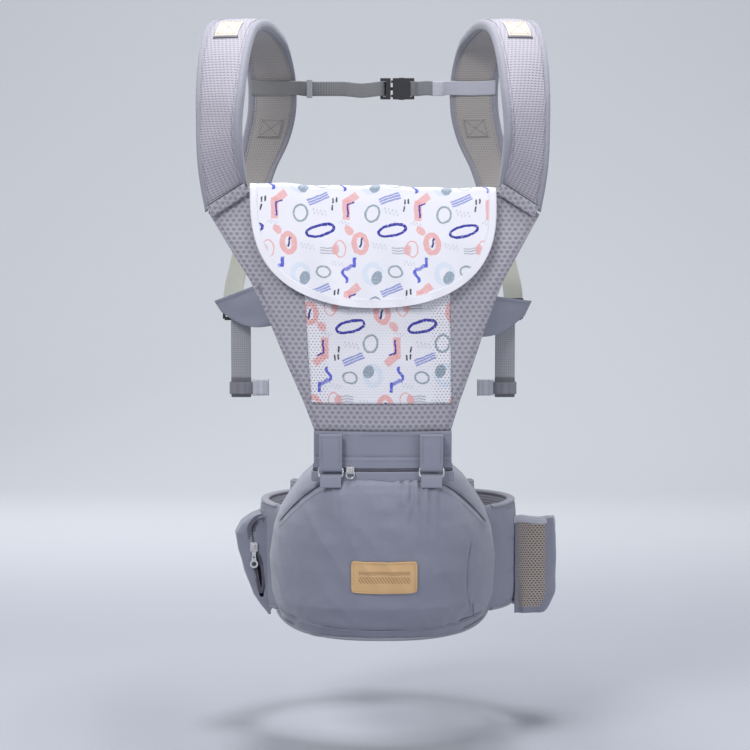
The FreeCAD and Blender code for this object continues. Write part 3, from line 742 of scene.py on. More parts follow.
def row_tree(name, unit):
    """Copies of one small unit along a curve, at an even pitch, pointing along it."""
    tree = bpy.data.node_groups.new(name, "GeometryNodeTree")
    inputs = (("Geometry", "Geometry"), ("Pitch", "Float"), ("Size", "Vector"), ("Material", "Material"))
    for key, kind in inputs:
        tree.interface.new_socket(key, in_out="INPUT", socket_type=f"NodeSocket{kind}")
    tree.interface.new_socket("Geometry", in_out="OUTPUT", socket_type="NodeSocketGeometry")
    g = Graph(tree)
    enter, leave = g.node("NodeGroupInput"), g.node("NodeGroupOutput")
    resample = g.node("GeometryNodeResampleCurve")
    resample.mode = "LENGTH"
    g.feed(resample.inputs["Curve"], enter.outputs["Geometry"])
    g.feed(resample.inputs["Length"], enter.outputs["Pitch"])
    if unit == "stitch":
        shape = g.node("GeometryNodeMeshIcoSphere")
        shape.inputs["Radius"].default_value = 0.5
        shape.inputs["Subdivisions"].default_value = 2
    else:
        shape = g.node("GeometryNodeMeshCube")
    sized = g.node("GeometryNodeTransform")
    g.feed(sized.inputs["Geometry"], shape.outputs["Mesh"])
    g.feed(sized.inputs["Scale"], enter.outputs["Size"])
    tangent = g.node("GeometryNodeInputTangent")
    turn = g.node("FunctionNodeAlignRotationToVector", axis="X")
    g.feed(turn.inputs["Vector"], tangent.outputs[0])
    copies = g.node("GeometryNodeInstanceOnPoints")
    g.feed(copies.inputs["Points"], resample.outputs[0])
    g.feed(copies.inputs["Instance"], sized.outputs[0])
    g.feed(copies.inputs["Rotation"], turn.outputs[0])
    real = g.node("GeometryNodeRealizeInstances")
    g.feed(real.inputs[0], copies.outputs[0])
    paint = g.node("GeometryNodeSetMaterial")
    g.feed(paint.inputs["Geometry"], real.outputs[0])
    g.feed(paint.inputs["Material"], enter.outputs["Material"])
    g.feed(leave.inputs[0], paint.outputs[0])
    return tree


STITCH_ROW = row_tree("stitch_row", "stitch")
TOOTH_ROW = row_tree("tooth_row", "tooth")


def rows_of(name, tree, paths, pitch, size, material, body):
    """Runs a row tree along each path and keeps the result as one plain mesh on a body."""
    curve = bpy.data.curves.new(name, "CURVE")
    curve.dimensions = "3D"
    for path in paths:
        spline = curve.splines.new("POLY")
        spline.points.add(len(path) - 1)
        for item, point in zip(spline.points, path):
            item.co = (*point, 1.0)
    made = bpy.data.objects.new(name, curve)
    bpy.context.scene.collection.objects.link(made)
    modifier = made.modifiers.new("row", "NODES")
    modifier.node_group = tree
    named = {item.name: item.identifier for item in tree.interface.items_tree if item.in_out == "INPUT"}
    modifier[named["Pitch"]] = pitch
    modifier[named["Size"]] = size
    modifier[named["Material"]] = material
    bpy.context.view_layer.update()
    mesh = bpy.data.meshes.new_from_object(made.evaluated_get(bpy.context.evaluated_depsgraph_get()))
    bpy.data.objects.remove(made)
    mesh.polygons.foreach_set("use_smooth", [True] * len(mesh.polygons))
    done = bpy.data.objects.new(name, mesh)
    bpy.context.scene.collection.objects.link(done)
    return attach(done, body) if body else done


def stitches(name, paths, body, material=None, pitch=3.4, length=2.5, thick=0.8):
    size = (length * MM, thick * MM, thick * MM)
    return rows_of(name, STITCH_ROW, paths, pitch * MM, size, material or grey_thread, body)


def seam_line(name, path, body, radius=0.55):
    """A thin dark tube in a seam's groove: painted shade where two cloths meet."""
    rows = [tuple(p) for p in path]

    def place(u, v):
        here = Vector(blend_rows(rows, v))
        along = direction(rows, v)
        side = along.cross(Vector((0.02, 1, 0.03))).normalized()
        out = side.cross(along)
        a = TAU * u
        taper = min(1.0, 0.3 + min(v, 1 - v) / 0.1) * radius * MM
        return here + side * taper * math.cos(a) + out * taper * 0.7 * math.sin(a), (u, v)
    made = grid(name, place, 8, max(12, 3 * len(rows)), [seam_shade], closed=True, caps=True)
    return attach(made, body) if body else made


# ---------------------------------------------------------------- front panel

STOOL_X = 12 * MM
# height, half width, front at the middle, how far the sides lie behind it
PANEL = np.array([
    (264.8, 84, -252, 9), (300, 96, -253, 12), (350, 116, -250, 15), (400, 135, -244, 17),
    (450, 157, -236, 17), (500, 187, -226, 20), (534, 207, -217, 23), (566, 155, -208, 13)]) * MM
PANEL_T = 11.5 * MM


def lean(z):
    """How far the panel's middle lies to the right at a height: its foot follows the stool."""
    share = (PANEL[-1, 0] - z) / (PANEL[-1, 0] - PANEL[0, 0])
    return STOOL_X * min(1.0, max(0.0, share))


def panel_row(z):
    """Half width, front and sag of the panel at a height."""
    return [float(np.interp(z, PANEL[:, 0], PANEL[:, k])) for k in (1, 2, 3)]


def panel_front(x, z, lift=0.0):
    """A point on the panel's front at x and z, lift in front of it."""
    half, front, sag = panel_row(z)
    u = (x - lean(z)) / half
    return Vector((x, front + sag * u * u - lift, z))


def build_panel():
    """Padded front panel: mesh in front and lining behind, in one closed form."""
    heights = PANEL[:, 0]

    def place(u, v):
        z = heights[0] + (heights[-1] - heights[0]) * v
        half, front, sag = panel_row(z)
        a = TAU * u
        side = power(math.sin(a), 0.8) if abs(math.sin(a)) > 1e-9 else 0.0
        x = side * half
        taper = min(1.0, (min(v, 1 - v) / 0.022 + 0.12)) ** 0.5
        depth = power(math.cos(a), 0.28) * taper
        middle = front + sag * side * side + PANEL_T / 2
        ripple = 1.3 * MM * noise.noise(Vector((x * 18, z * 18, 3.0 if depth < 0 else 9.0)))
        edge = 1 - abs(side) ** 6
        z -= v ** 10 * max(0.0, 3.2 + 22 * x) * MM
        return Vector((x + lean(z), middle - depth * PANEL_T / 2 + ripple * edge, z)), (x, z)
    made = grid("front_panel", place, 132, 110, [panel_mesh, lining_knit], closed=True, caps=True,
                slot_of=lambda u, v: 1 if 0.25 < u < 0.75 else 0)
    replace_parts(made, "panel_shell", "panel_foam", "panel_lining")
    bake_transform(made)
    edges = []
    for side in (-1, 1):
        row = []
        for k in range(61):
            z = 0.270 + (0.531 - 0.270) * k / 60
            half = panel_row(z)[0]
            row.append(panel_front(lean(z) + side * (half - 7 * MM), z, 0.2 * MM))
        edges.append(row)
    stitches("panel_edge_stitches", edges, "panel", grey_thread)


def build_shoulder_folds():
    """The rolled seam between the panel and each shoulder pad."""
    for side, word in SIDES:
        rows = []
        for off in (3.5, 8.5):
            start = Vector((side * 0.203, 0, 0.534 - off * MM))
            end = Vector((side * 0.157, 0, 0.563 - off * MM))
            rows.append([panel_front(*(start.lerp(end, k / 12)).xz, 0.4 * MM) for k in range(13)])
        lower = moved(rows[0], 0, -5.0 * MM, 4.0 * MM)
        fold = ribbon(f"shoulder_fold_{word}", lower[::2], 15 * MM, 3.2 * MM, panel_mesh,
                      [(side * 0.52, 0, 0.853)] * len(lower[::2]), 40, 0.3)
        put(fold, "panel", "air_mesh")
        rows = [moved(lower, side * dz * 0.52, -2.1 * MM, dz * 0.853) for dz in (-5 * MM, MM)]
        stitches(f"shoulder_seam_{word}", rows, "panel", light_thread, 3.2, 2.4, 0.9)
        shade = moved(lower, side * 3.6 * MM, -0.9 * MM, 6.4 * MM)
        seam_line(f"shoulder_shade_{word}", shade, "panel", 0.8)


def build_window():
    """Printed net, sewn flat to the middle of the panel."""
    low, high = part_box("panel_window")

    def place(u, v):
        z = low.z + (high.z - low.z) * v
        half = 86 * MM + 6 * MM * v
        x = (2 * u - 1) * half
        crown = 0.6 * MM * (1 - abs(2 * u - 1) ** 8)
        return panel_front(x + lean(z), z, 0.7 * MM + crown), (x, z)
    made = grid("print_window", place, 60, 76, [window_net])
    thicken(made, 0.5 * MM, 0.0)
    put(made, "panel", "printed", "panel_window")
    inset = 2.0
    row = [place(inset / 180, 1 - k / 40)[0] for k in range(41)]
    row += [place(k / 30 + (1 - 2 * k / 30) * inset / 180, inset / 236)[0] for k in range(1, 30)]
    row += [place(1 - inset / 180, k / 40)[0] for k in range(41)]
    stitches("window_stitches", [moved(row, 0, -0.35 * MM, 0)], "panel", pale_thread, 3.0, 2.2, 0.6)


BIB_TOP, BIB_LOW, BIB_HALF = 0.5655, 0.4175, 0.1525
# height and front of the bib's middle
BIB_FRONT = np.array([(413.5, -251.2), (450, -243.7), (500, -233.5), (550, -221.5), (572, -215.2)]) * MM


def bib_half(d):
    """Half width of the bib at a share d of its length: straight sides that turn into a round end."""
    return BIB_HALF * max(0.0, 1 - d ** 3.1) ** (1 / 2.15)


def bib_front(x, z):
    """The bib rests on the panel at its top and stands a little clear lower down."""
    share = (BIB_TOP - z) / (BIB_TOP - BIB_LOW)
    front = float(np.interp(z, BIB_FRONT[:, 0], BIB_FRONT[:, 1]))
    u = x / BIB_HALF
    wave = 1.6 * MM * share * math.sin(x * 62 + 0.8) + 1.0 * MM * share * math.sin(x * 130 + z * 40)
    return front + 12 * MM * u * u + wave * share


def bib_tilt(x, z):
    """The bib hangs a little lower on its right, with a slack upper edge."""
    share = max(0.0, (z - BIB_LOW) / (BIB_TOP - BIB_LOW)) ** 2
    slack = 0.9 * MM * math.sin(x * 47 + 1) + 0.7 * MM * math.sin(x * 103)
    return share * (slack - 3.2 * MM * (1 + x / BIB_HALF))


def build_bib():
    """Printed cotton bib, folded over the panel's upper edge, with a plain hem."""
    outline = []
    for k in range(241):
        d = 1 - (1 - k / 240) ** 2
        outline.append((bib_half(d), BIB_TOP - d * (BIB_TOP - BIB_LOW)))
    outline = np.array(outline)

    def edge_distance(x, z):
        return float(np.sqrt(((outline - (abs(x), z)) ** 2).sum(1)).min())

    distances = []

    def place(u, v):
        fold = 0.10
        if v < fold:
            turn = (1 - v / fold) * math.radians(165)
            radius = 7.5 * MM
            x = (2 * u - 1) * BIB_HALF
            y = bib_front(x, BIB_TOP) + radius - radius * math.cos(turn)
            z = BIB_TOP + 0.5 * radius * math.sin(turn) + bib_tilt(x, BIB_TOP)
            distances.append((BIB_HALF - abs(x)) / MM)
            return Vector((x, y, z)), (x, BIB_TOP + radius * turn)
        t = (v - fold) / (1 - fold)
        d = (1 - (1 - t) ** 1.8) * 0.9995
        z = BIB_TOP - d * (BIB_TOP - BIB_LOW)
        half = max(bib_half(d), 0.4 * MM)
        side = power(2 * u - 1, 0.85)
        x = side * half
        away = edge_distance(x, z)
        lift = 0.7 * MM if away < 9.5 * MM else 0.0
        distances.append(away / MM)
        return Vector((x + lean(z) * 0.5, bib_front(x, z) - lift, z + bib_tilt(x, z))), (x, z)
    made = grid("bib", place, 150, 96, [bib_cloth])
    hem = made.data.attributes.new("hem", "FLOAT", "POINT")
    hem.data.foreach_set("value", [min(1.0, max(0.0, (10.0 - a) / 0.8)) for a in distances])
    thicken(made, 1.0 * MM, 0.0)
    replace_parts(made, "bib")
    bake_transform(made)
    row = []
    for k in range(121):
        a = math.pi * (k / 120 - 0.5)
        d = math.cos(a) ** 0.9
        x = math.copysign(max(bib_half(min(d, 0.9995)) - 9 * MM, 0), a)
        z = BIB_TOP - d * (BIB_TOP - BIB_LOW - 9.5 * MM)
        row.append(Vector((x + lean(z) * 0.5, bib_front(x, z) - 1.4 * MM, z + bib_tilt(x, z))))
    stitches("bib_stitches", [row], "bib", white_thread, 3.0, 2.2, 0.7)


# ---------------------------------------------------------------- shoulder straps

# middle, width direction towards the outer edge, and width of the right strap
STRAP = np.array([
    (183.5, -190, 554.5, 0.853, 0.0, -0.52, 62),
    (189, -197, 598, 0.90, 0.30, -0.20, 61),
    (191, -192, 640, 0.88, 0.47, 0, 64),
    (190, -178, 684, 0.89, 0.45, 0, 68),
    (187, -147, 731, 0.94, 0.33, 0, 68),
    (181, -100, 765, 0.98, 0.20, 0, 68),
    (170, -34, 777, 1, 0.05, 0, 68),
    (158, 28, 770, 1, -0.08, 0, 68),
    (148, 72, 755, 0.98, -0.20, 0, 68),
    (140, 99, 716, 0.95, -0.30, 0, 68),
    (140, 110, 672, 0.95, -0.30, 0, 68),
    (149, 116, 631, 0.95, -0.28, 0, 66),
    (163, 115, 590, 0.97, -0.22, 0, 56),
    (170, 108, 552, 0.99, -0.14, 0, 46),
    (173, 101, 524, 1, -0.05, 0, 36)])
STRAP[:, :3] *= MM
STRAP[:, 6] *= MM
STRAP_T = 15 * MM
STRAP_START = -0.017
PAD_MARGIN = 5 * MM
STRAP_LENGTH = float(np.linalg.norm(np.diff(STRAP[:, :3], axis=0), axis=1).sum())


def strap_point(side, v, x, out):
    """A point on a shoulder strap: v along it, x across it, out above its middle."""
    here = blend_rows(STRAP, v)
    along = direction(STRAP, v)
    across = Vector(here[3:6]).normalized()
    outward = across.cross(along).normalized()
    middle = Vector(here[:3]) + along * min(v, 0.0) * STRAP_LENGTH
    point = middle + across * x + outward * out
    return Vector((point.x * side, point.y, point.z))


def strap_width(v):
    """Width of the pad at v along the strap."""
    return float(blend_rows(STRAP, v)[6])


def pad_thickness(share):
    """Half thickness of the pad at a share of its half width."""
    return STRAP_T / 2 * (1.04 - 0.34 * abs(share) ** 3)


def build_strap(side, word):
    """Shoulder pad with its mesh face, lining, bound edges and rows of stitches."""
    body = f"strap_{word}"

    def pad(u, v):
        v = STRAP_START + (1 - STRAP_START) * v
        width = strap_width(v)
        front = u < 0.5
        share = 4 * u - 1 if front else 3 - 4 * u
        x = share * (width / 2 - PAD_MARGIN)
        thick = pad_thickness(share)
        thick *= min(1.0, 0.35 + (1 - v) / 0.03) * min(1.0, 0.6 + (v - STRAP_START) / 0.04)
        ripple = 0.7 * MM * noise.noise(Vector((x * 30, v * 14, side * 5.0 + (2 if front else 7))))
        out = (thick + ripple) * (1 if front else -1)
        return strap_point(side, v, x, out), (x, v * STRAP_LENGTH)
    made = grid(f"strap_{word}_pad", pad, 56, 190, [strap_mesh, lining_knit], closed=True, caps=True,
                slot_of=lambda u, v: 0 if u < 0.5 else 1)
    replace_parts(made, f"strap_{word}_shell", f"strap_{word}_foam", f"strap_{word}_lining")
    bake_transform(made)
    for edge, edge_word in ((1, "outer"), (-1, "inner")):
        def tube(u, v):
            v = STRAP_START + (1 - STRAP_START) * v
            width = strap_width(v)
            a = TAU * u
            x = edge * (width / 2 - 4.6 * MM) + 4.6 * MM * power(math.cos(a), 0.7)
            out = 6.7 * MM * power(math.sin(a), 0.8) * min(1.0, 0.4 + (1 - v) / 0.02)
            out += 0.35 * MM * math.sin(v * STRAP_LENGTH * 700) * abs(math.sin(a))
            return strap_point(side, v, x, out), (a * 5.5 * MM, v * STRAP_LENGTH)
        band = grid(f"strap_{word}_binding_{edge_word}", tube, 20, 190, [cotton_edge], closed=True, caps=True)
        if edge == 1:
            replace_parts(band, f"strap_{word}_binding")
        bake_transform(band)
    rows = []
    for x_share in (-1, 1):
        for level in (1, -1):
            row = []
            for k in range(160):
                v = 0.012 + 0.976 * k / 159
                width = strap_width(v)
                x = x_share * (width / 2 - 9.8 * MM)
                share = x / (width / 2 - PAD_MARGIN)
                row.append(strap_point(side, v, x, level * (pad_thickness(share) + 0.25 * MM)))
            rows.append(row)
    stitched = stitches(f"strap_{word}_stitches", rows, None, grey_thread)
    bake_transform(stitched)
    build_strap_patches(side, word, body)


def box_stitches(side, v0, v1, half, level):
    """The outline of a sewn box and the cross inside it, on the strap's front or its lining."""
    def at(v, x):
        width = strap_width(v)
        share = x / (width / 2 - PAD_MARGIN)
        rise = pad_thickness(share) + (2.3 if level > 0 else 0.9) * MM
        return strap_point(side, v, x, level * rise)
    corners = [(v0, -half), (v0, half), (v1, half), (v1, -half)]
    pairs = list(zip(corners, corners[1:] + corners[:1]))
    pairs += [(corners[0], corners[2]), (corners[1], corners[3])]
    return [[at(a[0] + (b[0] - a[0]) * k / 10, a[1] + (b[1] - a[1]) * k / 10) for k in range(11)]
            for a, b in pairs]


def build_strap_patches(side, word, body):
    """Sewn cream patch on top of the pad, with painted shadow along its lower edge, and the sewn square on
    its lining.
    """
    v0, v1, half = 0.318, 0.366, 15 * MM

    def patch(u, v):
        x = (2 * u - 1) * half
        place = v0 + (v1 - v0) * v
        share = x / 29 / MM
        return strap_point(side, place, x, pad_thickness(share) + 1.3 * MM), (x, v * 40 * MM)
    made = grid(f"strap_{word}_patch", patch, 20, 20, [cream])
    thicken(made, 1.4 * MM, 0.0)
    put(made, body, "patch", f"strap_{word}_patch")
    margin = 0.004
    cross = box_stitches(side, v0 + margin, v1 - margin, half - 3 * MM, 1)
    stitches(f"strap_{word}_patch_stitches", cross, body, tan_thread, 3.0, 2.2, 0.8)

    # A dark rolled strip under the patch's lower edge: painted shadow where its loop opens.
    def lip(u, v):
        a = TAU * v
        x = (2 * u - 1) * (half + 1.5 * MM)
        here = v0 - 0.002 + 0.0022 * math.cos(a)
        rise = pad_thickness(x / 29 / MM) + 0.9 * MM + 1.0 * MM * math.sin(a)
        return strap_point(side, here, x, rise), (x, v * 0.01)
    edge = grid(f"strap_{word}_patch_edge_shadow", lip, 16, 10, [tail_roll_and_patch_shadow])
    put(edge, body, "webbing")
    low, high, small = 0.735, 0.775, 14 * MM

    def square(u, v):
        x = (2 * u - 1) * (small + 2 * MM)
        place = low - 0.003 + (high - low + 0.006) * v
        share = x / 29 / MM
        return strap_point(side, place, x, -pad_thickness(share) - 0.5 * MM), (x, v * 34 * MM)
    sewn = grid(f"strap_{word}_sewn_square", square, 14, 14, [lining_knit])
    thicken(sewn, 0.9 * MM, 0.0)
    put(sewn, body, "lining")
    cross = box_stitches(side, low, high, small, -1)
    stitches(f"strap_{word}_square_stitches", cross, body, dark_thread, 2.8, 2.3, 1.0)


# ---------------------------------------------------------------- side adjusters

# the right webbing's middle in millimetres, from the strap's rear end down to the ladder lock
SIDE_WEB = [(172, 100, 530), (174, 98, 512), (177, 60, 490), (180, -10, 459), (181, -80, 437),
            (179, -135, 422), (176, -166, 414)]
SIDE_ACROSS = [(1, 0, 0), (1, 0, 0), (1, 0.1, 0), (0.99, 0.12, 0), (0.98, 0.15, 0.1), (0.96, 0.15, 0.2),
               (0.96, 0.1, 0.2)]


def mirror(points, side):
    """The right side's points in metres, on either side."""
    return [(side * x * MM, y * MM, z * MM) for x, y, z in points]


def build_side_webbing(side, word):
    """Webbing from the pad's rear end down to the ladder lock."""
    path = mirror(SIDE_WEB, side)
    across = [(a[0], side * a[1], side * a[2]) for a in SIDE_ACROSS]
    web = ribbon(f"side_webbing_{word}", path, 25 * MM, 1.8 * MM, side_web, across, 60, 0.15)
    put(web, f"strap_{word}", "webbing", f"strap_{word}_webbing")


def build_side_wing(side, word):
    """Padded wing on the panel's edge. The left one sits a little higher."""
    rise = 14 if side < 0 else 0
    corners = [Vector(p) * MM for p in ((124, -217, 380 + rise), (140, -222, 432 + rise), (199, -187, 423),
                                        (190, -186, 404 + rise / 3))]
    edge_low, edge_high = corners[0], corners[1]
    tip_low, tip_high = corners[3], corners[2]

    def wing(u, v):
        a = TAU * u
        s = 0.5 + 0.5 * power(math.cos(a), 0.5)
        left = edge_low.lerp(edge_high, s)
        right = tip_low.lerp(tip_high, s)
        point = left.lerp(right, v)
        point.z -= 9 * MM * math.sin(math.pi * v) * (1 - s) ** 1.5
        puff = 3.4 * MM * power(math.sin(a), 0.7) * (1 - 0.75 * v)
        wrinkle = 1.4 * MM * math.sin((s * 3.2 + 0.4) * math.pi + v * 2) * math.sin(math.pi * min(1, v * 1.3))
        y = point.y - puff - wrinkle + 1.5 * MM
        return Vector((side * point.x, y, point.z)), (v * 60 * MM, s * 50 * MM)
    made = grid(f"side_wing_{word}", wing, 44, 30, [cotton], closed=True, caps=True)
    put(made, "panel", "cotton")
    if side > 0:
        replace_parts(made, "side_wings")
    row = moved([wing(0.5 + 0.06, k / 20)[0] for k in range(1, 20)], 0, -0.3 * MM, 3 * MM)
    top = moved([wing(0.06, k / 20)[0] for k in range(1, 20)], 0, -0.3 * MM, -3 * MM)
    stitches(f"side_wing_{word}_stitches", [row, top], "panel", grey_thread)


def build_tail(side, word):
    """Ladder lock, and the webbing tail that hangs from it with its end rolled up."""
    lock = rounded_copy(f"ladder_lock_{word}", f"lock_{word}", black_plastic, 0.7 * MM)
    put(lock, f"tail_{word}", "buckle")
    x, y = side * 166 * MM, -180.4 * MM
    tail_path = [(x, y + 2 * MM, 0.411), (x, y, 0.402), (x, y - 0.6 * MM, 0.37), (x, y, 0.34), (x, y, 0.318),
                 (x, y, 0.305)]
    tail = ribbon(f"tail_{word}", tail_path, 25 * MM, 1.8 * MM, tail_web, [(1, 0, 0)] * 6, 40, 0.15)
    turned = [(x, y + dy * MM, z) for dy, z in ((-1.2, 0.3265), (-1.6, 0.316), (-0.8, 0.3035), (3.6, 0.3035),
                                                (4.4, 0.316), (3.8, 0.326))]
    roll = ribbon(f"tail_end_{word}", turned, 25 * MM, 1.7 * MM, tail_roll_and_patch_shadow, [(1, 0, 0)] * 6, 36, 0.15)
    for item in (tail, roll):
        put(item, f"tail_{word}", "webbing")
    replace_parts(tail, f"tail_{word}")
    build_keeper(side, word, x, y)


def build_keeper(side, word, x, y):
    """Elastic loop round the tail's rolled end, with a flat spare loop towards the middle."""
    z0, z1 = 0.3055, 0.3205

    def loop(u, v):
        a = TAU * u
        px = x + power(math.cos(a), 0.35) * 13.9 * MM
        py = y + 1.6 * MM + power(math.sin(a), 0.6) * 5.0 * MM
        return Vector((px, py, z0 + (z1 - z0) * v)), (a * 8 * MM, v * 17 * MM)
    made = grid(f"keeper_{word}", loop, 48, 10, [keeper_band], closed=True)
    thicken(made, 0.9 * MM, 1.0)

    def spare(u, v):
        a = TAU * u
        px = x - side * (24.5 * MM) + power(math.cos(a), 0.3) * 10.5 * MM
        py = y - 0.6 * MM + power(math.sin(a), 0.6) * 1.3 * MM
        sag = 0.8 * MM * math.sin(3 * a)
        return Vector((px, py, z0 - 1.5 * MM + 19 * MM * v + sag)), (a * 8 * MM, v * 17 * MM)
    flat = grid(f"keeper_loop_{word}", spare, 40, 10, [elastic], closed=True, caps=True)
    for item in (made, flat):
        put(item, f"keeper_{word}", "elastic")
    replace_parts(made, f"keeper_{word}")


# ---------------------------------------------------------------- chest strap

CHEST_WIDE = 20 * MM


def build_chest():
    """Chest strap: webbing on both halves, its elastic, the buckle and the tri-glide."""
    low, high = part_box("chest_plug")
    y, z = (low.y + high.y) / 2, (low.z + high.z) / 2
    socket_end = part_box("chest_socket")[1].x
    pad_tilt, upright = (0, -0.34, 0.94), (0, 0, 1)
    left = [(-0.1675, 0.0848, z + MM), (-0.138, 0.0932, z), (-0.1055, 0.1022, z + MM), (-0.09, y, z),
            (-0.05, y, z), (-0.035, y, z - 0.6 * MM), (-0.015, y - 1.6 * MM, z - 2.4 * MM),
            (low.x, y - 6 * MM, z), (low.x + 3.5 * MM, y - 5.6 * MM, z), (low.x + 7 * MM, y + 2 * MM, z)]
    leans = [pad_tilt] * 3 + [upright]
    band = ribbon("chest_band_left", left[:4], CHEST_WIDE, 1.9 * MM, grey_elastic, leans, 60, 0.15)
    put(band, "strap_left", "elastic")
    leans = [pad_tilt] + [upright] * 7
    web = ribbon("chest_webbing_left", left[2:], CHEST_WIDE, 1.5 * MM, chest_web, leans, 110, 0.15)
    put(web, "strap_left", "webbing", "chest_web_left")
    right = [(socket_end - 6.5 * MM, y + 2 * MM, z), (socket_end - 3.5 * MM, y - 5.6 * MM, z),
             (socket_end, y - 6 * MM, z), (0.062, y - MM, z), (0.074, y, z + MM), (0.086, y, z)]
    short = ribbon("chest_webbing_right", right, CHEST_WIDE, 1.5 * MM, chest_web, [upright] * 6, 70, 0.15)
    put(short, "strap_right", "webbing", "chest_web_right")
    stretch = [(0.082, y - 0.8 * MM, z), (0.094, y - MM, z), (0.1055, 0.1022, z + MM), (0.138, 0.0932, z),
               (0.1675, 0.0848, z + MM)]
    leans = [upright] * 2 + [pad_tilt] * 3
    band = ribbon("chest_elastic", stretch, CHEST_WIDE, 1.6 * MM, elastic, leans, 50, 0.15)
    put(band, "strap_right", "elastic")
    end = [(0.098, y - 1.2 * MM, z + k * MM) for k in (-8, 0, 8)]
    stitches("chest_elastic_stitches", [end], "strap_right", grey_thread, 2.2, 1.8, 0.7)
    for node, body, material, radius in (
            ("chest_plug", "strap_left", black_plastic, 0.8),
            ("chest_socket", "strap_right", black_plastic, 0.8),
            ("chest_prong_upper", "chest_prong_upper", black_plastic, 0.4),
            ("chest_prong_lower", "chest_prong_lower", black_plastic, 0.4),
            ("chest_glide", "chest_glide", clear_plastic, 0.6)):
        made = rounded_copy(f"{node}_part", node, material, radius * MM)
        put(made, body, "buckle")


# ---------------------------------------------------------------- hip seat

# height, half width, front at the middle, squareness
STOOL = np.array([(-4, 115, -207, 2.6), (2, 127, -214, 2.6), (14, 137, -223, 2.6), (42, 145, -239, 2.8),
                  (90, 147, -253, 3.0), (125, 142, -260, 3.2), (148, 134, -262, 3.5), (168, 122, -262, 3.8),
                  (190, 106, -260, 4.4), (200, 95, -257, 4.8), (205.5, 86, -252, 5.0)])
BACK, BELLY = -72 * MM, -116 * MM


def stool_row(z):
    """Half width, front and squareness of the stool at a height."""
    return [float(np.interp(z / MM, STOOL[:, 0], STOOL[:, k])) for k in (1, 2, 3)]


def shoulder_seam(t):
    """Sideways place and height, in millimetres, of the stool's slanting seam at a share t of its length."""
    return 62 + 70 * t, 203 - 62 * t ** 1.6


def seam_depth(x, z):
    """Grooves of the stool cover's seams, and the folds beside them, in the front view."""
    sx, sz = (x - STOOL_X) / MM, z / MM
    depth = 0.0
    for side in (-1, 1):
        t = (side * sx - 62) / 70
        if -0.15 < t < 1.15:
            line = shoulder_seam(max(0.0, min(1.0, t)))[1]
            fade = max(0.0, 1 - abs(t - 0.5) / 0.68)
            depth += 4.6 * fade * math.exp(-((sz - line) / 3.0) ** 2)
            depth -= 3.4 * fade * math.exp(-((sz - line - 8) / 5.5) ** 2)
    line = 118 + 9 * ((sz - 80) / 60) ** 2
    if 10 < sz < 140:
        fade = min(1.0, (sz - 10) / 25, (140 - sz) / 20)
        depth += 1.7 * fade * math.exp(-((sx - line + 12) / 2.6) ** 2)
    depth += 1.9 * math.exp(-((sz - hem_line(sx)) / 2.2) ** 2)
    return depth * MM


def hem_line(sx):
    """Height of the seam above the stool's lower edge, in millimetres."""
    return 11 + 16 * (abs(sx) / 140) ** 2


def fold_height(x, y, z):
    """Soft folds of the stool cover."""
    sx, sz = (x - STOOL_X) / MM, z / MM
    top = max(0.0, min(1.0, (sz - 120) / 80))
    gathers = 0.0
    for middle, width, strength in ((18, 30, 1.0), (48, 22, 0.8), (-40, 26, 0.35)):
        gathers += strength * math.exp(-((sx - middle) / width) ** 2)
    pleats = 3.0 * gathers * top ** 1.3 * math.sin(sx * 0.55 + 0.02 * sz) ** 3
    long = noise.noise(Vector((sx * 0.017 + 4, sz * 0.030, y * 9)))
    ridge = 1 - abs(noise.noise(Vector((sx * 0.030 + sz * 0.014, sz * 0.012 - 3, y * 6 + 2))))
    fine = noise.noise(Vector((sx * 0.09, sz * 0.06, y * 30)))
    low_corner = max(0.0, 1 - sz / 90) * min(1.0, abs(sx) / 110)
    crumple = 1.7 * low_corner * noise.noise(Vector((sx * 0.07, sz * 0.075, 8.0 + y * 20)))
    return (pleats + 2.6 * long + 4.0 * (ridge - 0.85) + 0.7 * fine + 1.6 * crumple) * MM


def stool_point(a, z):
    """A point of the stool's outline at height z. a runs from 0 at the right rear corner, round the front."""
    half, front, square = stool_row(z)
    half, front = half * MM, front * MM
    if a <= 0.72:
        t = math.pi * a / 0.72
        x = power(math.cos(t), 2 / square) * half
        y = BACK + (front - BACK) * abs(math.sin(t)) ** (2 / square)
    else:
        s = 2 * (a - 0.72) / 0.28 - 1
        x = s * half
        y = BELLY + (BACK - BELLY) * s * s
    return Vector((STOOL_X + x, y, z))


def stool_surface(x, z, lift=0.0):
    """The front of the stool cover at x and z."""
    half, front, square = stool_row(z)
    share = min(1.0, abs(x - STOOL_X) / (half * MM))
    y = BACK + (front * MM - BACK) * max(0.0, 1 - share ** square) ** (1 / square)
    y += seam_depth(x, z) - fold_height(x, y, z)
    return Vector((x, y - lift, z))


def build_stool():
    """Cotton cover drawn over the hard stool."""
    around, up = 330, 92
    heights = []
    for k in range(up + 1):
        t = k / up
        heights.append((209.5 * (0.35 * (0.5 - 0.5 * math.cos(math.pi * t)) + 0.65 * t) - 4) * MM)
    rings = [(-4 * MM, 1 - s) for s in (0.97, 0.7, 0.35)] + [(z, 0.0) for z in heights] \
        + [(heights[-1] + 0.6 * MM, 1 - s) for s in (0.94, 0.7, 0.35)]

    def place(u, v):
        z, inset = rings[min(int(round(v * (len(rings) - 1))), len(rings) - 1)]
        point = stool_point(u if u < 1 else 0.0, z)
        if u < 0.72 and inset == 0.0:
            away = Vector((point.x - STOOL_X, point.y + 0.15, 0)).normalized()
            front = max(0.0, -away.y) ** 0.5 if away.y < 0 else 0.0
            point -= away * seam_depth(point.x, z) * front
            point += away * fold_height(point.x, point.y, z) * min(1.0, (1 - abs(u / 0.36 - 1)) * 4)
        middle = Vector((STOOL_X, -0.165, point.z))
        point = point.lerp(middle, inset)
        return point, (u * 0.86, z + 0.1 * inset)
    made = grid("stool_cover_cloth", place, around, len(rings) - 1, [cotton], closed=True, caps=True)
    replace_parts(made, "stool_cover", "stool_core")
    put(made, "hip_seat", "cotton")


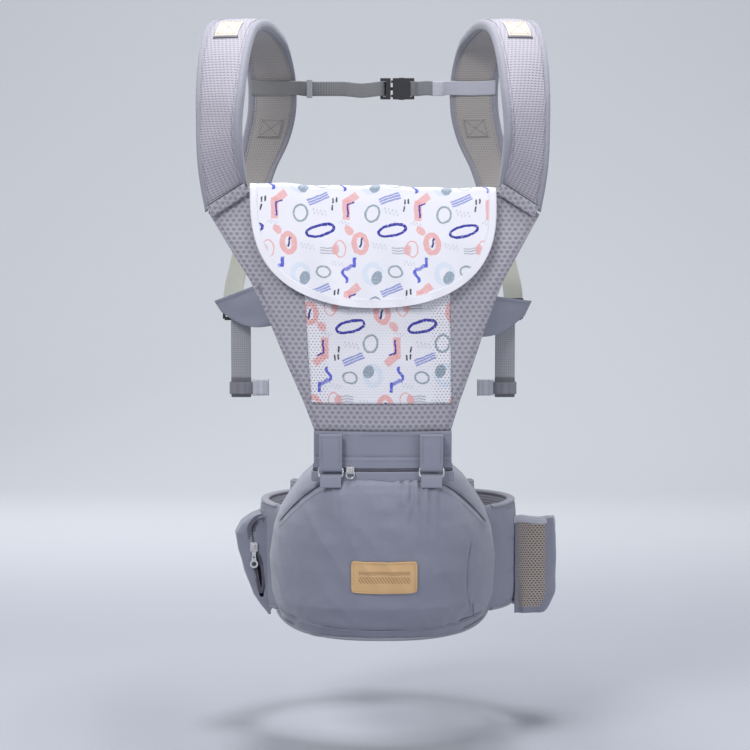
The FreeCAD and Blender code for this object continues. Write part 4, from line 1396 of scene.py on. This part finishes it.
def build_stool_stitches():
    """Stitches beside the lower seam and beside both slanting seams."""
    row = []
    for k in range(121):
        sx = -128 + 256 * k / 120
        row.append(stool_surface(STOOL_X + sx * MM, (hem_line(sx) - 3.2) * MM, 0.5 * MM))
    sewn = [row]
    for k_side in (-1, 1):
        row = []
        for k in range(31):
            across, height = shoulder_seam(0.02 + 0.96 * k / 30)
            row.append(stool_surface(STOOL_X + k_side * across * MM, (height - 7) * MM, 0.4 * MM))
        sewn.append(row)
    stitches("stool_stitches", sewn, "hip_seat", grey_thread)


def build_stool_seams():
    """Dark tubes along the cover's seams: painted shade in the grooves where its cloths meet."""
    lines = [[stool_surface(STOOL_X + sx * MM, hem_line(sx) * MM, -0.1 * MM) for sx in range(-132, 133, 4)]]
    for k_side in (-1, 1):
        line = []
        for k in range(25):
            across, height = shoulder_seam(0.01 + 0.98 * k / 24)
            line.append(stool_surface(STOOL_X + k_side * across * MM, height * MM, -0.1 * MM))
        lines.append(line)
    lines.append([stool_surface(STOOL_X + (106 + 9 * ((z - 80) / 60) ** 2) * MM, z * MM, 0.0)
                  for z in range(24, 126, 4)])
    lines.append([stool_surface(STOOL_X + (118 - 2 * z / 20) * MM, z * MM, 0.0) for z in range(18, 46, 4)])
    for number, line in enumerate(lines):
        seam_line(f"stool_seam_{number}", line, "hip_seat", (0.7, 0.9, 0.9, 0.4, 0.5)[number])


def build_stool_piping():
    """Bound lower edge of the cover."""
    def piping(u, v):
        a = TAU * v
        turn = 0.03 + 0.66 * u
        z = (-2 + 15 * (abs(2 * u - 1)) ** 2.2) * MM
        point = stool_point(turn, z)
        away = Vector((point.x - STOOL_X, point.y + 0.15, 0)).normalized()
        point += away * (1.6 + 2.2 * math.cos(a)) * MM + Vector((0, 0, 2.2 * MM * math.sin(a)))
        return point, (u * 0.6, v * 0.012)
    edge = grid("stool_piping", piping, 150, 12, [cotton_edge])
    put(edge, "hip_seat", "cotton")


def build_label():
    """Leather label, a little wrinkled, that follows the cover."""
    low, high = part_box("label_patch")
    middle = Vector(((low.x + high.x) / 2, 0, (low.z + high.z) / 2))
    half_x, half_z = (high.x - low.x) / 2, 21 * MM

    def place(u, v):
        a, b = 2 * u - 1, 2 * v - 1
        corner = 1 - 0.055 * (abs(a) ** 10) * (abs(b) ** 10)
        x = a * half_x * corner
        z = b * half_z * corner - (1 - a * a) * 1.6 * MM * (b > 0) * b - (1 - a * a) * 1.0 * MM * (b < 0) * -b
        rim = 0.35 * MM * (max(abs(a), abs(b)) > 0.93)
        point = stool_surface(middle.x + x, middle.z + z, 1.6 * MM + rim)
        point.y = min(point.y, stool_surface(middle.x, middle.z + z, 1.2 * MM).y + 3 * MM)
        return point, (x, z)
    made = grid("leather_label", place, 60, 40, [label_leather])
    thicken(made, 1.8 * MM, -1.0)
    put(made, "hip_seat", "label", "label_patch")
    row = []
    for k in range(97):
        t = 4 * k / 96
        side, f = int(t) % 4, t - int(t)
        a, b = ((-1 + 2 * f, -1), (1, -1 + 2 * f), (1 - 2 * f, 1), (-1, 1 - 2 * f))[side]
        point = place(0.5 + a * 0.465, 0.5 + b * 0.44)[0]
        row.append(point + Vector((0, -0.25 * MM, 0)))
    stitches("label_stitches", [row], "hip_seat", tan_thread, 2.6, 1.8, 0.55)


def build_seat():
    """Soft seat pad on top of the stool."""
    low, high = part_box("seat_pad")

    def seat(u, v):
        a = TAU * u
        r = math.sin(math.pi * v / 2) if v < 1 else 1.0
        side = power(math.cos(a), 0.45) * r
        depth = power(math.sin(a), 0.45) * r
        x = (low.x + high.x) / 2 + side * (high.x - low.x) / 2
        y = (low.y + high.y) / 2 + depth * (high.y - low.y) / 2
        crown = (1 - max(abs(side), abs(depth)) ** 4)
        wave = 0.8 * MM * noise.noise(Vector((x * 30, y * 30, 2)))
        z = low.z + 0.3 * MM + (high.z - low.z - 1 * MM) * crown ** 0.5 + wave * crown
        return Vector((x, y, z)), (x, y)
    made = grid("seat_top", seat, 72, 30, [cotton], closed=True)
    put(made, "hip_seat", "cotton", "seat_pad")


def build_belly():
    """Quilted mesh pad against the wearer."""
    def belly(u, v):
        deg = -62 + 124 * v
        a = math.radians(deg)
        t = TAU * u
        out = Vector((math.sin(a), -math.cos(a), 0))
        centre = Vector((STOOL_X + 137 * MM * math.sin(a), -106 * MM * math.cos(a) + 2 * MM, 94 * MM))
        taper = min(1.0, 0.3 + min(v, 1 - v) / 0.05)
        z = power(math.cos(t), 0.3) * 87 * MM * min(1.0, 0.96 + 0.04 * taper)
        quilt = 1.0
        for line in (-44, 0, 44):
            quilt -= 0.35 * math.exp(-((z / MM - line) / 4) ** 2)
        thick = power(math.sin(t), 0.4) * 5.4 * MM * taper * (quilt if math.sin(t) < 0 else 1.0)
        return centre + out * thick + Vector((0, 0, z)), (v * 0.3, z)
    pad = grid("belly_padding", belly, 96, 90, [belly_mesh], closed=True, caps=True)
    put(pad, "hip_seat", "air_mesh", "belly_pad")


# ---------------------------------------------------------------- zip, band and safety tabs

ZIP_HALF, ZIP_Z, FOOT_Y, FOOT_SAG = 86 * MM, 218 * MM, -252 * MM, 9 * MM


def foot(x, lift=0.0):
    """The front of the panel's foot at x, lift in front of it."""
    return FOOT_Y + FOOT_SAG * ((x - STOOL_X) / ZIP_HALF) ** 2 - lift


def build_foot():
    """Band at the panel's foot, with the zip, its guard and its tapes below it."""
    def strip(name, z0, z1, depth, thick, material, half=ZIP_HALF, waves=0.0):
        def place(u, v):
            a = TAU * u
            x = (2 * v - 1) * half
            z = (z0 + z1) / 2 + power(math.cos(a), 0.3) * (z1 - z0) / 2
            y = foot(STOOL_X + x) + depth - power(math.sin(a), 0.5) * thick / 2
            y += waves * noise.noise(Vector((x * 45, z * 20, 1.0)))
            return Vector((STOOL_X + x, y, z)), (x, z)
        made = grid(name, place, 40, 90, [material], closed=True, caps=True)
        return made
    band = strip("foot_band", 0.2315, 0.2655, 3.2 * MM, 5.4 * MM, cotton, 85 * MM, 1.6 * MM)
    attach(band, "hip_seat")
    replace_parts(band, "base_band")
    flap = strip("zip_guard", 0.2198, 0.2335, 1.2 * MM, 3.0 * MM, cotton, 85 * MM, 0.8 * MM)
    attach(flap, "hip_seat")
    tapes = [strip("zip_tape_upper", 0.2185, 0.2255, 2.4 * MM, 1.0 * MM, zip_tape),
             strip("zip_tape_lower", 0.2075, 0.2175, 2.4 * MM, 1.0 * MM, zip_tape)]
    for tape in tapes:
        put(tape, "hip_seat", "zip")
    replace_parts(tapes[0], "main_zip")
    lip = strip("stool_top_edge", 0.2030, 0.2158, 1.2 * MM, 3.6 * MM, cotton, 88 * MM, 1.2 * MM)
    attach(lip, "hip_seat")
    xs = [STOOL_X - ZIP_HALF + 2 * ZIP_HALF * k / 90 for k in range(91)]
    teeth = [[Vector((x, foot(x, -1.7 * MM), ZIP_Z + dz)) for x in xs] for dz in (0.7 * MM, -0.7 * MM)]
    rows_of("zip_teeth", TOOTH_ROW, teeth, 1.5 * MM, (0.8 * MM, 1.7 * MM, 1.5 * MM), zip_coil, "hip_seat")
    sewn = [[Vector((x, foot(x, 0.1 * MM), z)) for x in xs[2:-2]] for z in (0.2610, 0.2360)]
    sewn.append([Vector((x, foot(x, 0.5 * MM), 0.2290)) for x in xs[2:-2]])
    sewn.append([Vector((x, foot(x, 0.8 * MM), 0.2060)) for x in xs[2:-2]])
    stitches("band_stitches", sewn, "hip_seat", grey_thread, 3.2, 2.3, 0.6)


def build_tabs():
    """Both safety tabs."""
    for word, x in (("left", STOOL_X - 64 * MM), ("right", STOOL_X + 60 * MM)):
        build_tab(word, x)


def build_tab(word, x):
    """Tab folded through its ring, with the loop that holds the ring."""
    y = foot(x) - 6 * MM
    front, back = y - 2.5 * MM, y + 2.5 * MM
    path = [(x, back + 1.6 * MM, 0.262), (x, back, 0.255), (x, back, 0.235), (x, back - 0.3 * MM, 0.222),
            (x, y + 1.2 * MM, 0.2178), (x, y - 1.2 * MM, 0.2178), (x, front + 0.2 * MM, 0.2215),
            (x, front - 0.6 * MM, 0.235), (x, front - 0.9 * MM, 0.250), (x, front - 0.3 * MM, 0.2625)]
    made = ribbon(f"safety_tab_{word}", path, 28 * MM, 1.9 * MM, cotton, [(1, 0, 0)] * len(path), 90, 0.12)
    split_tab(made, word, y, f"tab_flap_{word}")
    ring_low, ring_high = 0.2085, 0.2225
    points = []
    for cx, cz in ((-1, -1), (1, -1), (1, 1), (-1, 1)):
        for t in (0, 1):
            dx = 14.9 * MM * cx * (1 if (t == 0) == (cx * cz > 0) else 0.86)
            dz = (ring_high - ring_low - 2.6 * MM) / 2 * cz * (1 if (t == 0) != (cx * cz > 0) else 0.66)
            points.append((x + dx, y, (ring_low + ring_high) / 2 + dz))
    ring = wire_loop(f"tab_ring_{word}", points, 1.25 * MM, nickel)
    put(ring, "hip_seat", "metal")
    if word == "left":
        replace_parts(ring, "tab_rings")
    over = [(x, y + dy * MM, z) for dy, z in ((4.6, 0.2065), (2.4, 0.2105), (0, 0.2122), (-2.4, 0.2100),
                                              (-3.6, 0.2045), (-4.4, 0.197))]
    loop = ribbon(f"ring_anchor_{word}", over, 26 * MM, 1.6 * MM, cotton, [(1, 0, 0)] * 6, 40, 0.15)
    put(loop, "hip_seat", "cotton")
    if word == "left":
        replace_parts(loop, "ring_anchors")


def split_tab(made, word, y, node):
    """The tab's back run stays on the band. Its front flap becomes a piece of its own, in place of the flap's
    CAD part.
    """
    front = made.copy()
    front.data = made.data.copy()
    bpy.context.scene.collection.objects.link(front)
    for keep_front, target in ((True, front), (False, made)):
        work = bmesh.new()
        work.from_mesh(target.data)
        faces = [f for f in work.faces if (f.calc_center_median().y < y) != keep_front]
        bmesh.ops.delete(work, geom=faces, context="FACES")
        rims = [e for e in work.edges if e.is_boundary]
        bmesh.ops.holes_fill(work, edges=rims, sides=0)
        work.to_mesh(target.data)
        work.free()
    made.name = f"safety_tab_back_{word}"
    front.name = f"safety_tab_front_{word}"
    put(made, "hip_seat", "cotton")
    x = (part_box(node)[0].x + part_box(node)[1].x) / 2
    if word == "left":
        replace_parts(made, "tab_straps", "snap_studs")
    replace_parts(front, node)
    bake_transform(front)
    rows = []
    for dx in (-11, 11):
        depths = [4.4 if k in (0, 12) else 4.8 for k in range(13)]
        rows.append([Vector((x + dx * MM, y - depth * MM, 0.2285 + 0.031 * k / 12))
                     for k, depth in enumerate(depths)])
    rows.append([Vector((x + dx * MM, y - 4.5 * MM, 0.2595)) for dx in range(-11, 12, 2)])
    stitches(f"tab_stitches_{word}", rows, node, grey_thread, 3.0, 2.1, 0.6)


# ---------------------------------------------------------------- waist belt

BELT_A, BELT_B = {-1: 146 * MM, 1: 186 * MM}, 106 * MM
WING_DEG = {-1: (-37.0, 96.0), 1: (-40.0, 95.5)}


def belt_line(side, deg, out=0.0):
    """A point on the belt's oval at an angle, out beyond it."""
    a = math.radians(deg)
    return Vector((side * (BELT_A[side] + out) * math.cos(a), (BELT_B + out) * math.sin(a), 0))


def wing_out(side, deg):
    """The right wing steps outwards at the back, so that it laps over the left one."""
    return 15.5 * MM * min(1.0, max(0.0, (deg - 45) / 28)) if side > 0 else 0.0


def wing_frame(side, deg):
    """Middle point, outward direction and height of a wing at an angle along the belt."""
    here = belt_line(side, deg, wing_out(side, deg))
    after, before = (belt_line(side, d, wing_out(side, d)) for d in (deg + 1, deg - 1))
    ahead = after - before
    out = Vector((ahead.y, -ahead.x, 0)).normalized() * side
    t = max(0.0, (deg + 24) / 120)
    drop = 9 * max(0.0, 1 - t / 0.6)
    return here, out, (150 - 44 * t ** 1.5 - drop) * MM, (80 + 6 * t - drop / 2) * MM


def wing_skin(side, deg, z_share, level):
    """A point on a wing. z_share goes from -1 at its lower edge to 1 at its upper edge, level from -1 inside
    to 1 outside."""
    here, out, height, middle = wing_frame(side, deg)
    edge = (1 - abs(z_share) ** 7) ** 0.5
    quilt = 1.0
    if level > 0:
        quilt += 0.10 * noise.noise(Vector((deg * 0.12, z_share * 2.4, side * 3.0)))
    return here + out * level * 7.2 * MM * edge * quilt + Vector((0, 0, middle + z_share * height / 2))


def build_wing(side, word):
    """One wing of the waist belt, with its bound edges and quilting."""
    body = f"belt_{word}"
    first, last = WING_DEG[side]
    span = 0.36

    def place(u, v):
        deg = first + (last - first) * v
        a = TAU * u
        z_share = power(math.cos(a), 0.6)
        taper = min(1.0, 0.35 + (1 - v) / 0.02) * min(1.0, 0.6 + v / 0.05)
        point = wing_skin(side, deg, z_share, math.copysign(taper, math.sin(a)))
        return point, (v * span, z_share * 0.075)
    made = grid(f"belt_{word}_wing", place, 80, 150, [cotton, belly_mesh], closed=True, caps=True,
                slot_of=lambda u, v: 0 if u < 0.5 else 1)
    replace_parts(made, f"belt_{word}_cover", f"belt_{word}_foam")
    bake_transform(made)
    rows = []
    for z_share in (-0.88, 0.88, 0.3, -0.3):
        rows.append([wing_skin(side, first + 18 + (last - first - 20) * k / 90, z_share, 1.03)
                     for k in range(91)])
    stitches(f"belt_{word}_stitches", rows, body, grey_thread)
    for z_share, edge in ((1, "upper"), (-1, "lower")):
        def tube(u, v):
            deg = first + 6 + (last - first - 6) * v
            here, out, height, middle = wing_frame(side, deg)
            a = TAU * u
            point = here + out * 5.6 * MM * math.cos(a)
            point.z = middle + z_share * (height / 2 - 2.2 * MM) + 3.0 * MM * math.sin(a)
            return point, (a * 4.5 * MM, v * span)
        edging = grid(f"belt_{word}_binding_{edge}", tube, 16, 130, [cotton_edge], closed=True, caps=True)
        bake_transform(edging)


# height, and how far the pocket stands out to the left there
ZIP_POCKET_REACH = np.array([
    (-4, -12), (8, -2), (23, 8), (50, 17.5), (80, 26), (104, 30), (117, 23), (125, 13), (132, -4)])


def reach(z):
    """How far the zip pocket stands out at a height."""
    return float(np.interp(z / MM, ZIP_POCKET_REACH[:, 0], ZIP_POCKET_REACH[:, 1])) * MM


def slit_x(z):
    """The slit's middle. It follows the pocket slider's joint."""
    return (-159.0 + 0.145 * (87 - z / MM)) * MM


def cut_slit(made, face_y):
    """Opens the pocket's face along the undone part of its zip."""
    work = bmesh.new()
    work.from_mesh(made.data)
    gone = []
    for face in work.faces:
        c = face.calc_center_median()
        if c.y < face_y + 5 * MM and 0.019 < c.z < 0.080:
            gape = math.sin(math.pi * (c.z - 0.015) / 0.067) ** 0.6
            if -2.4 * MM * gape - MM < c.x - slit_x(c.z) < 6.6 * MM * gape:
                gone.append(face)
    bmesh.ops.delete(work, geom=gone, context="FACES")
    work.to_mesh(made.data)
    work.free()


def build_zip_pocket():
    """Zip pocket on the left wing: a soft shell, open along its zip, with painted shade inside."""
    low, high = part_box("zip_pocket")
    face_y = low.y

    def place(u, v):
        z = -4 * MM + 135 * MM * v
        out = reach(z)
        x_in = -0.137
        corner = -0.152 - out
        if u < 0.42:
            s = u / 0.42
            x = x_in + (corner - x_in) * s
            y = face_y + 6 * MM * s ** 6 + 1.2 * MM * noise.noise(Vector((x * 60, z * 50, 4)))
        else:
            s = (u - 0.42) / 0.58
            round_off = math.sin(math.pi * s)
            x = corner - 4.0 * MM * round_off * min(1.0, out / (20 * MM)) + (s ** 5) * (out + 6 * MM)
            y = face_y + 6 * MM + (high.y - face_y - 6 * MM) * s
            x += 1.4 * MM * noise.noise(Vector((y * 40, z * 40, 7)))
        return Vector((x, y, z)), (u * 0.14, z)
    made = grid("zip_pocket_shell", place, 74, 70, [cotton])
    cut_slit(made, face_y)
    thicken(made, 1.6 * MM, 0.0)
    put(made, "belt_left", "cotton", "zip_pocket")

    # A dark sheet behind the open slit: painted shade inside the pocket.
    def inside(u, v):
        z = low.z + 6 * MM + (high.z - low.z - 14 * MM) * v
        x = -0.140 + (-0.150 - reach(z) * 0.8 + 0.140) * u
        return Vector((x, face_y + 14 * MM + 2 * MM * math.sin(9 * u), z)), (u * 0.05, z)
    dark = grid("zip_pocket_inside_shade", inside, 16, 30, [cotton_painted_shade])
    thicken(dark, 1.0 * MM, 0.0)
    put(dark, "belt_left", "cotton")


def zip_path(t, offset=0.0):
    """Down from the top inner corner, round the shoulder, then straight down the face."""
    if t < 0.4:
        a = math.pi * (0.5 + 0.5 * t / 0.4)
        x = -0.146 + 0.0165 * math.cos(a)
        z = 0.1085 + 0.0175 * math.sin(a)
    else:
        z = 0.1085 - (0.1085 - 0.024) * (t - 0.4) / 0.6
        x = slit_x(z)
    return Vector((x + offset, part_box("zip_pocket")[0].y - 1.2 * MM, z))


def open_edge(left_or_right, gape):
    """One edge of the open zip, bowed outwards by its gape."""
    spread = [math.sin(math.pi * k / 30) ** 0.6 for k in range(31)]
    return [zip_path(0.575 + 0.42 * k / 30, left_or_right * (0.6 + gape * spread[k]) * MM)
            for k in range(31)]


def build_pocket_zip():
    """The pocket's zip, closed round its shoulder and open below the slider."""
    top = [zip_path(0.4 * k / 24) for k in range(25)] + [zip_path(0.4 + 0.11 * k / 8) for k in range(1, 9)]
    rows_of("pocket_zip_closed", TOOTH_ROW, [top], 1.6 * MM, (0.9 * MM, 3.0 * MM, 1.6 * MM), zip_coil,
            "belt_left")
    open_left, open_right = open_edge(-1, 1.9), open_edge(1, 6.4)
    rows_of("pocket_zip_open", TOOTH_ROW, [open_left, open_right], 1.6 * MM, (0.9 * MM, 1.5 * MM, 1.6 * MM),
            zip_coil, "belt_left")
    for label, path in (("curve", top), ("left", open_left), ("right", open_right)):
        shifted = moved(path, 0, 0.9 * MM, 0)[::3]
        across = []
        for i in range(len(shifted)):
            ahead = shifted[min(i + 1, len(shifted) - 1)] - shifted[max(i - 1, 0)]
            across.append(tuple(Vector((ahead.z, 0, -ahead.x)).normalized()))
        wide = (11 if label == "curve" else 5) * MM
        tape = ribbon(f"pocket_tape_{label}", shifted, wide, 0.9 * MM, zip_tape, across, 60, 0.15)
        put(tape, "belt_left", "zip")
    stitches("zip_pocket_stitches", [moved(top[8:], -6.6 * MM, 0.4 * MM, 0)], "belt_left", grey_thread)


def build_mesh_pocket():
    """Open net pocket on the right wing, with an elastic hem."""
    low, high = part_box("mesh_pocket")
    low.z, high.z = -6 * MM, 123 * MM

    def outline(u, z):
        """Round the pocket: from the wing at its near side, out, along, and back to the wing."""
        t = (z - low.z) / (high.z - low.z)
        outer = (230 + 14 * min(1.0, t / 0.2) ** 0.7) * MM
        puff = 1.5 * MM * math.sin(math.pi * t)
        points = [(0.1905, -0.024), (0.205, -0.0245), (outer - 9 * MM, -0.022), (outer + puff, -0.014),
                  (outer + 2 * puff, 0.012), (outer + puff, 0.036), (outer - 9 * MM, 0.046), (0.2, 0.052),
                  (0.180, 0.055)]
        x, y = blend_rows(points, u)
        x += 0.8 * MM * noise.noise(Vector((y * 50, z * 50, 2)))
        return x, y

    def rear_drop(u):
        """The pocket's rear edge hangs lower than its front edge."""
        t = min(1.0, max(0.0, (u - 0.30) / 0.15))
        return 11 * MM * t * t * (3 - 2 * t)

    def place(u, v):
        z = low.z + (high.z - low.z - rear_drop(u)) * v
        x, y = outline(u, z)
        crease = 1.2 * MM * math.sin(u * 40) * (1 - v) ** 3
        return Vector((x + crease, y + crease, z)), (u * 0.19, z)

    def part_of(u, v):
        if v < 0.075:
            return 1
        return 1 if u < 0.05 or 0.235 < u < 0.60 or u > 0.92 else 0
    made = grid("mesh_pocket_net", place, 90, 60, [pocket_net, cotton], slot_of=part_of)
    thicken(made, 1.3 * MM, 0.0)
    put(made, "belt_right", "pocket_mesh", "mesh_pocket")

    def floor(u, v):
        x, y = outline(u, low.z)
        point = Vector((x, y, low.z + 1 * MM)).lerp(Vector((0.2, 0.015, low.z + 2.5 * MM)), v)
        return point, (point.x, point.y)
    base = grid("mesh_pocket_base", floor, 60, 12, [cotton])
    thicken(base, 1.2 * MM, 0.0)
    put(base, "belt_right", "cotton")

    def hem(u, v):
        a = TAU * v
        x, y = outline(u, high.z)
        wave = 1.6 * MM * math.sin(u * 21)
        spread = 1.7 * MM * math.cos(a)
        z = high.z - rear_drop(u) - 2.4 * MM + wave + 5.4 * MM * power(math.sin(a), 0.6)
        return Vector((x + spread, y + spread * 0.6, z)), (u * 0.19, v * 0.02)
    top = grid("mesh_pocket_hem", hem, 90, 14, [elastic])
    put(top, "belt_right", "elastic")


def build_belt_back():
    """Belt webbing and the buckle behind."""
    for side, word in SIDES:
        node = f"belt_web_{word}"
        low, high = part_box(node)
        z = (low.z + high.z) / 2
        y = (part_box("belt_plug")[0].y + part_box("belt_plug")[1].y) / 2
        degs = (38, 46, 54, 62) if side < 0 else (38, 47, 56, 65)
        rest = 9.4 * MM
        points = [belt_line(side, d, rest + wing_out(side, d)) + Vector((0, 0, z)) for d in degs]
        if side < 0:
            ends = [(-0.046, -7), (-0.034, 0), (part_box("belt_plug")[0].x + 6 * MM, 0)]
        else:
            ends = [(0.048, -3), (0.038, 0), (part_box("belt_socket")[1].x - 5 * MM, 0)]
        points += [Vector((x, y + dy * MM, z)) for x, dy in ends]
        web = ribbon(f"belt_webbing_{word}", points, 37 * MM, 2.2 * MM, chest_web, None, 70, 0.12)
        put(web, f"belt_{word}", "webbing", node)
        anchor = [belt_line(side, d, 8.6 * MM + wing_out(side, d)) + Vector((0, 0, z)) for d in (34, 40, 46)]
        patch = ribbon(f"belt_anchor_{word}", anchor, 50 * MM, 2.2 * MM, cotton, None, 24, 0.12)
        put(patch, f"belt_{word}", "cotton")
    for node, body, radius in (("belt_plug", "belt_left", 1.0), ("belt_socket", "belt_right", 1.0),
                               ("belt_prong_upper", "belt_prong_upper", 0.5),
                               ("belt_prong_lower", "belt_prong_lower", 0.5)):
        made = rounded_copy(f"{node}_part", node, black_plastic, radius * MM)
        put(made, body, "buckle")


def build_metal():
    """Sliders, pocket pull and zip ring."""
    for node, body, radius in (("zip_slider", "zip_slider", 0.4), ("pocket_slider", "pocket_slider", 0.4),
                               ("pocket_pull", "pocket_pull", 0.25)):
        made = rounded_copy(f"{node}_part", node, nickel, radius * MM)
        put(made, body, "metal")
    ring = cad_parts["zip_ring"]
    ring.data.materials.clear()
    ring.data.materials.append(nickel)


# ---------------------------------------------------------------- room

def build_room():
    """Pale floor that curves up into a wall, with painted shade on the floor near the carrier that lightens
    further back, and soft lamps.
    """
    def place(u, v):
        x = (2 * u - 1) * 6
        bend = 1.2
        floor_end = 2.2
        length = v * 9
        if length < 3 + floor_end:
            return Vector((x, length - 3, -0.165)), (u, v)
        rest = length - 3 - floor_end
        arc = bend * math.pi / 2
        if rest < arc:
            a = rest / bend
            return Vector((x, floor_end + bend * math.sin(a), -0.165 + bend - bend * math.cos(a))), (u, v)
        return Vector((x, floor_end + bend, -0.165 + bend + rest - arc)), (u, v)
    made = grid("backdrop", place, 8, 120, [])
    paint, g, shader = start_material("backdrop_painted_shade", 0.9)
    _, beyond, height = g.split(object_place(g))
    rise = g.step(height, -0.164, 0.3)
    # Painted shade: the floor is darker near the carrier and lighter from 0.5 to 2 m behind it.
    tone = g.mix(g.step(beyond, 0.5, 2.0), rgb(158, 162, 172), rgb(202, 206, 212))
    g.feed(shader.inputs["Base Color"], g.mix(rise, tone, rgb(203, 206, 212)))
    made.data.materials.append(paint)

    def lamp(name, place, target, size, power_w, colour=(1, 1, 1)):
        data = bpy.data.lights.new(name, "AREA")
        data.shape = "DISK"
        data.size = size
        data.energy = power_w
        data.color = colour
        made = bpy.data.objects.new(name, data)
        made.location = place
        made.rotation_euler = (Vector(target) - Vector(place)).to_track_quat("-Z", "Y").to_euler()
        bpy.context.scene.collection.objects.link(made)
    lamp("key", (-1.4, -2.2, 2.4), (0, -0.1, 0.4), 1.1, 56, (1.0, 0.985, 0.96))
    lamp("fill", (2.2, -2.1, 0.9), (0, -0.1, 0.25), 1.8, 22)
    lamp("top", (0.1, -0.15, 2.8), (0, -0.05, 0.3), 1.0, 66)
    lamp("back", (-1.2, 1.7, 1.4), (0, 0, 0.4), 1.4, 10)
    lamp("wall", (0, 0.9, 2.1), (0, 2.6, -0.1), 1.4, 5)
    world = bpy.data.worlds.new("studio")
    world.use_nodes = True
    world.node_tree.nodes["Background"].inputs[0].default_value = (0.88, 0.90, 0.94, 1)
    world.node_tree.nodes["Background"].inputs[1].default_value = 0.56
    bpy.context.scene.world = world
    bpy.context.scene.view_settings.view_transform = "Standard"


def build_camera():
    """Camera in front of the carrier, 5 degrees above the level."""
    target = Vector((2.5, -200, 331)) * MM
    rise = math.radians(5)
    away = 2.6
    data = bpy.data.cameras.new("camera")
    data.sensor_width = 36
    data.lens = 99.84
    made = bpy.data.objects.new("camera", data)
    made.location = target + Vector((0, -math.cos(rise), math.sin(rise))) * away
    made.rotation_euler = (target - made.location).to_track_quat("-Z", "Y").to_euler()
    bpy.context.scene.collection.objects.link(made)
    bpy.context.scene.camera = made


build_camera()
build_room()
build_panel()
build_shoulder_folds()
build_window()
build_bib()
for side, word in SIDES:
    build_strap(side, word)
    build_side_webbing(side, word)
    build_side_wing(side, word)
    build_tail(side, word)
    build_wing(side, word)
build_chest()
build_stool()
build_stool_stitches()
build_stool_seams()
build_stool_piping()
build_label()
build_seat()
build_belly()
build_foot()
build_tabs()
build_zip_pocket()
build_pocket_zip()
build_mesh_pocket()
build_belt_back()
build_metal()
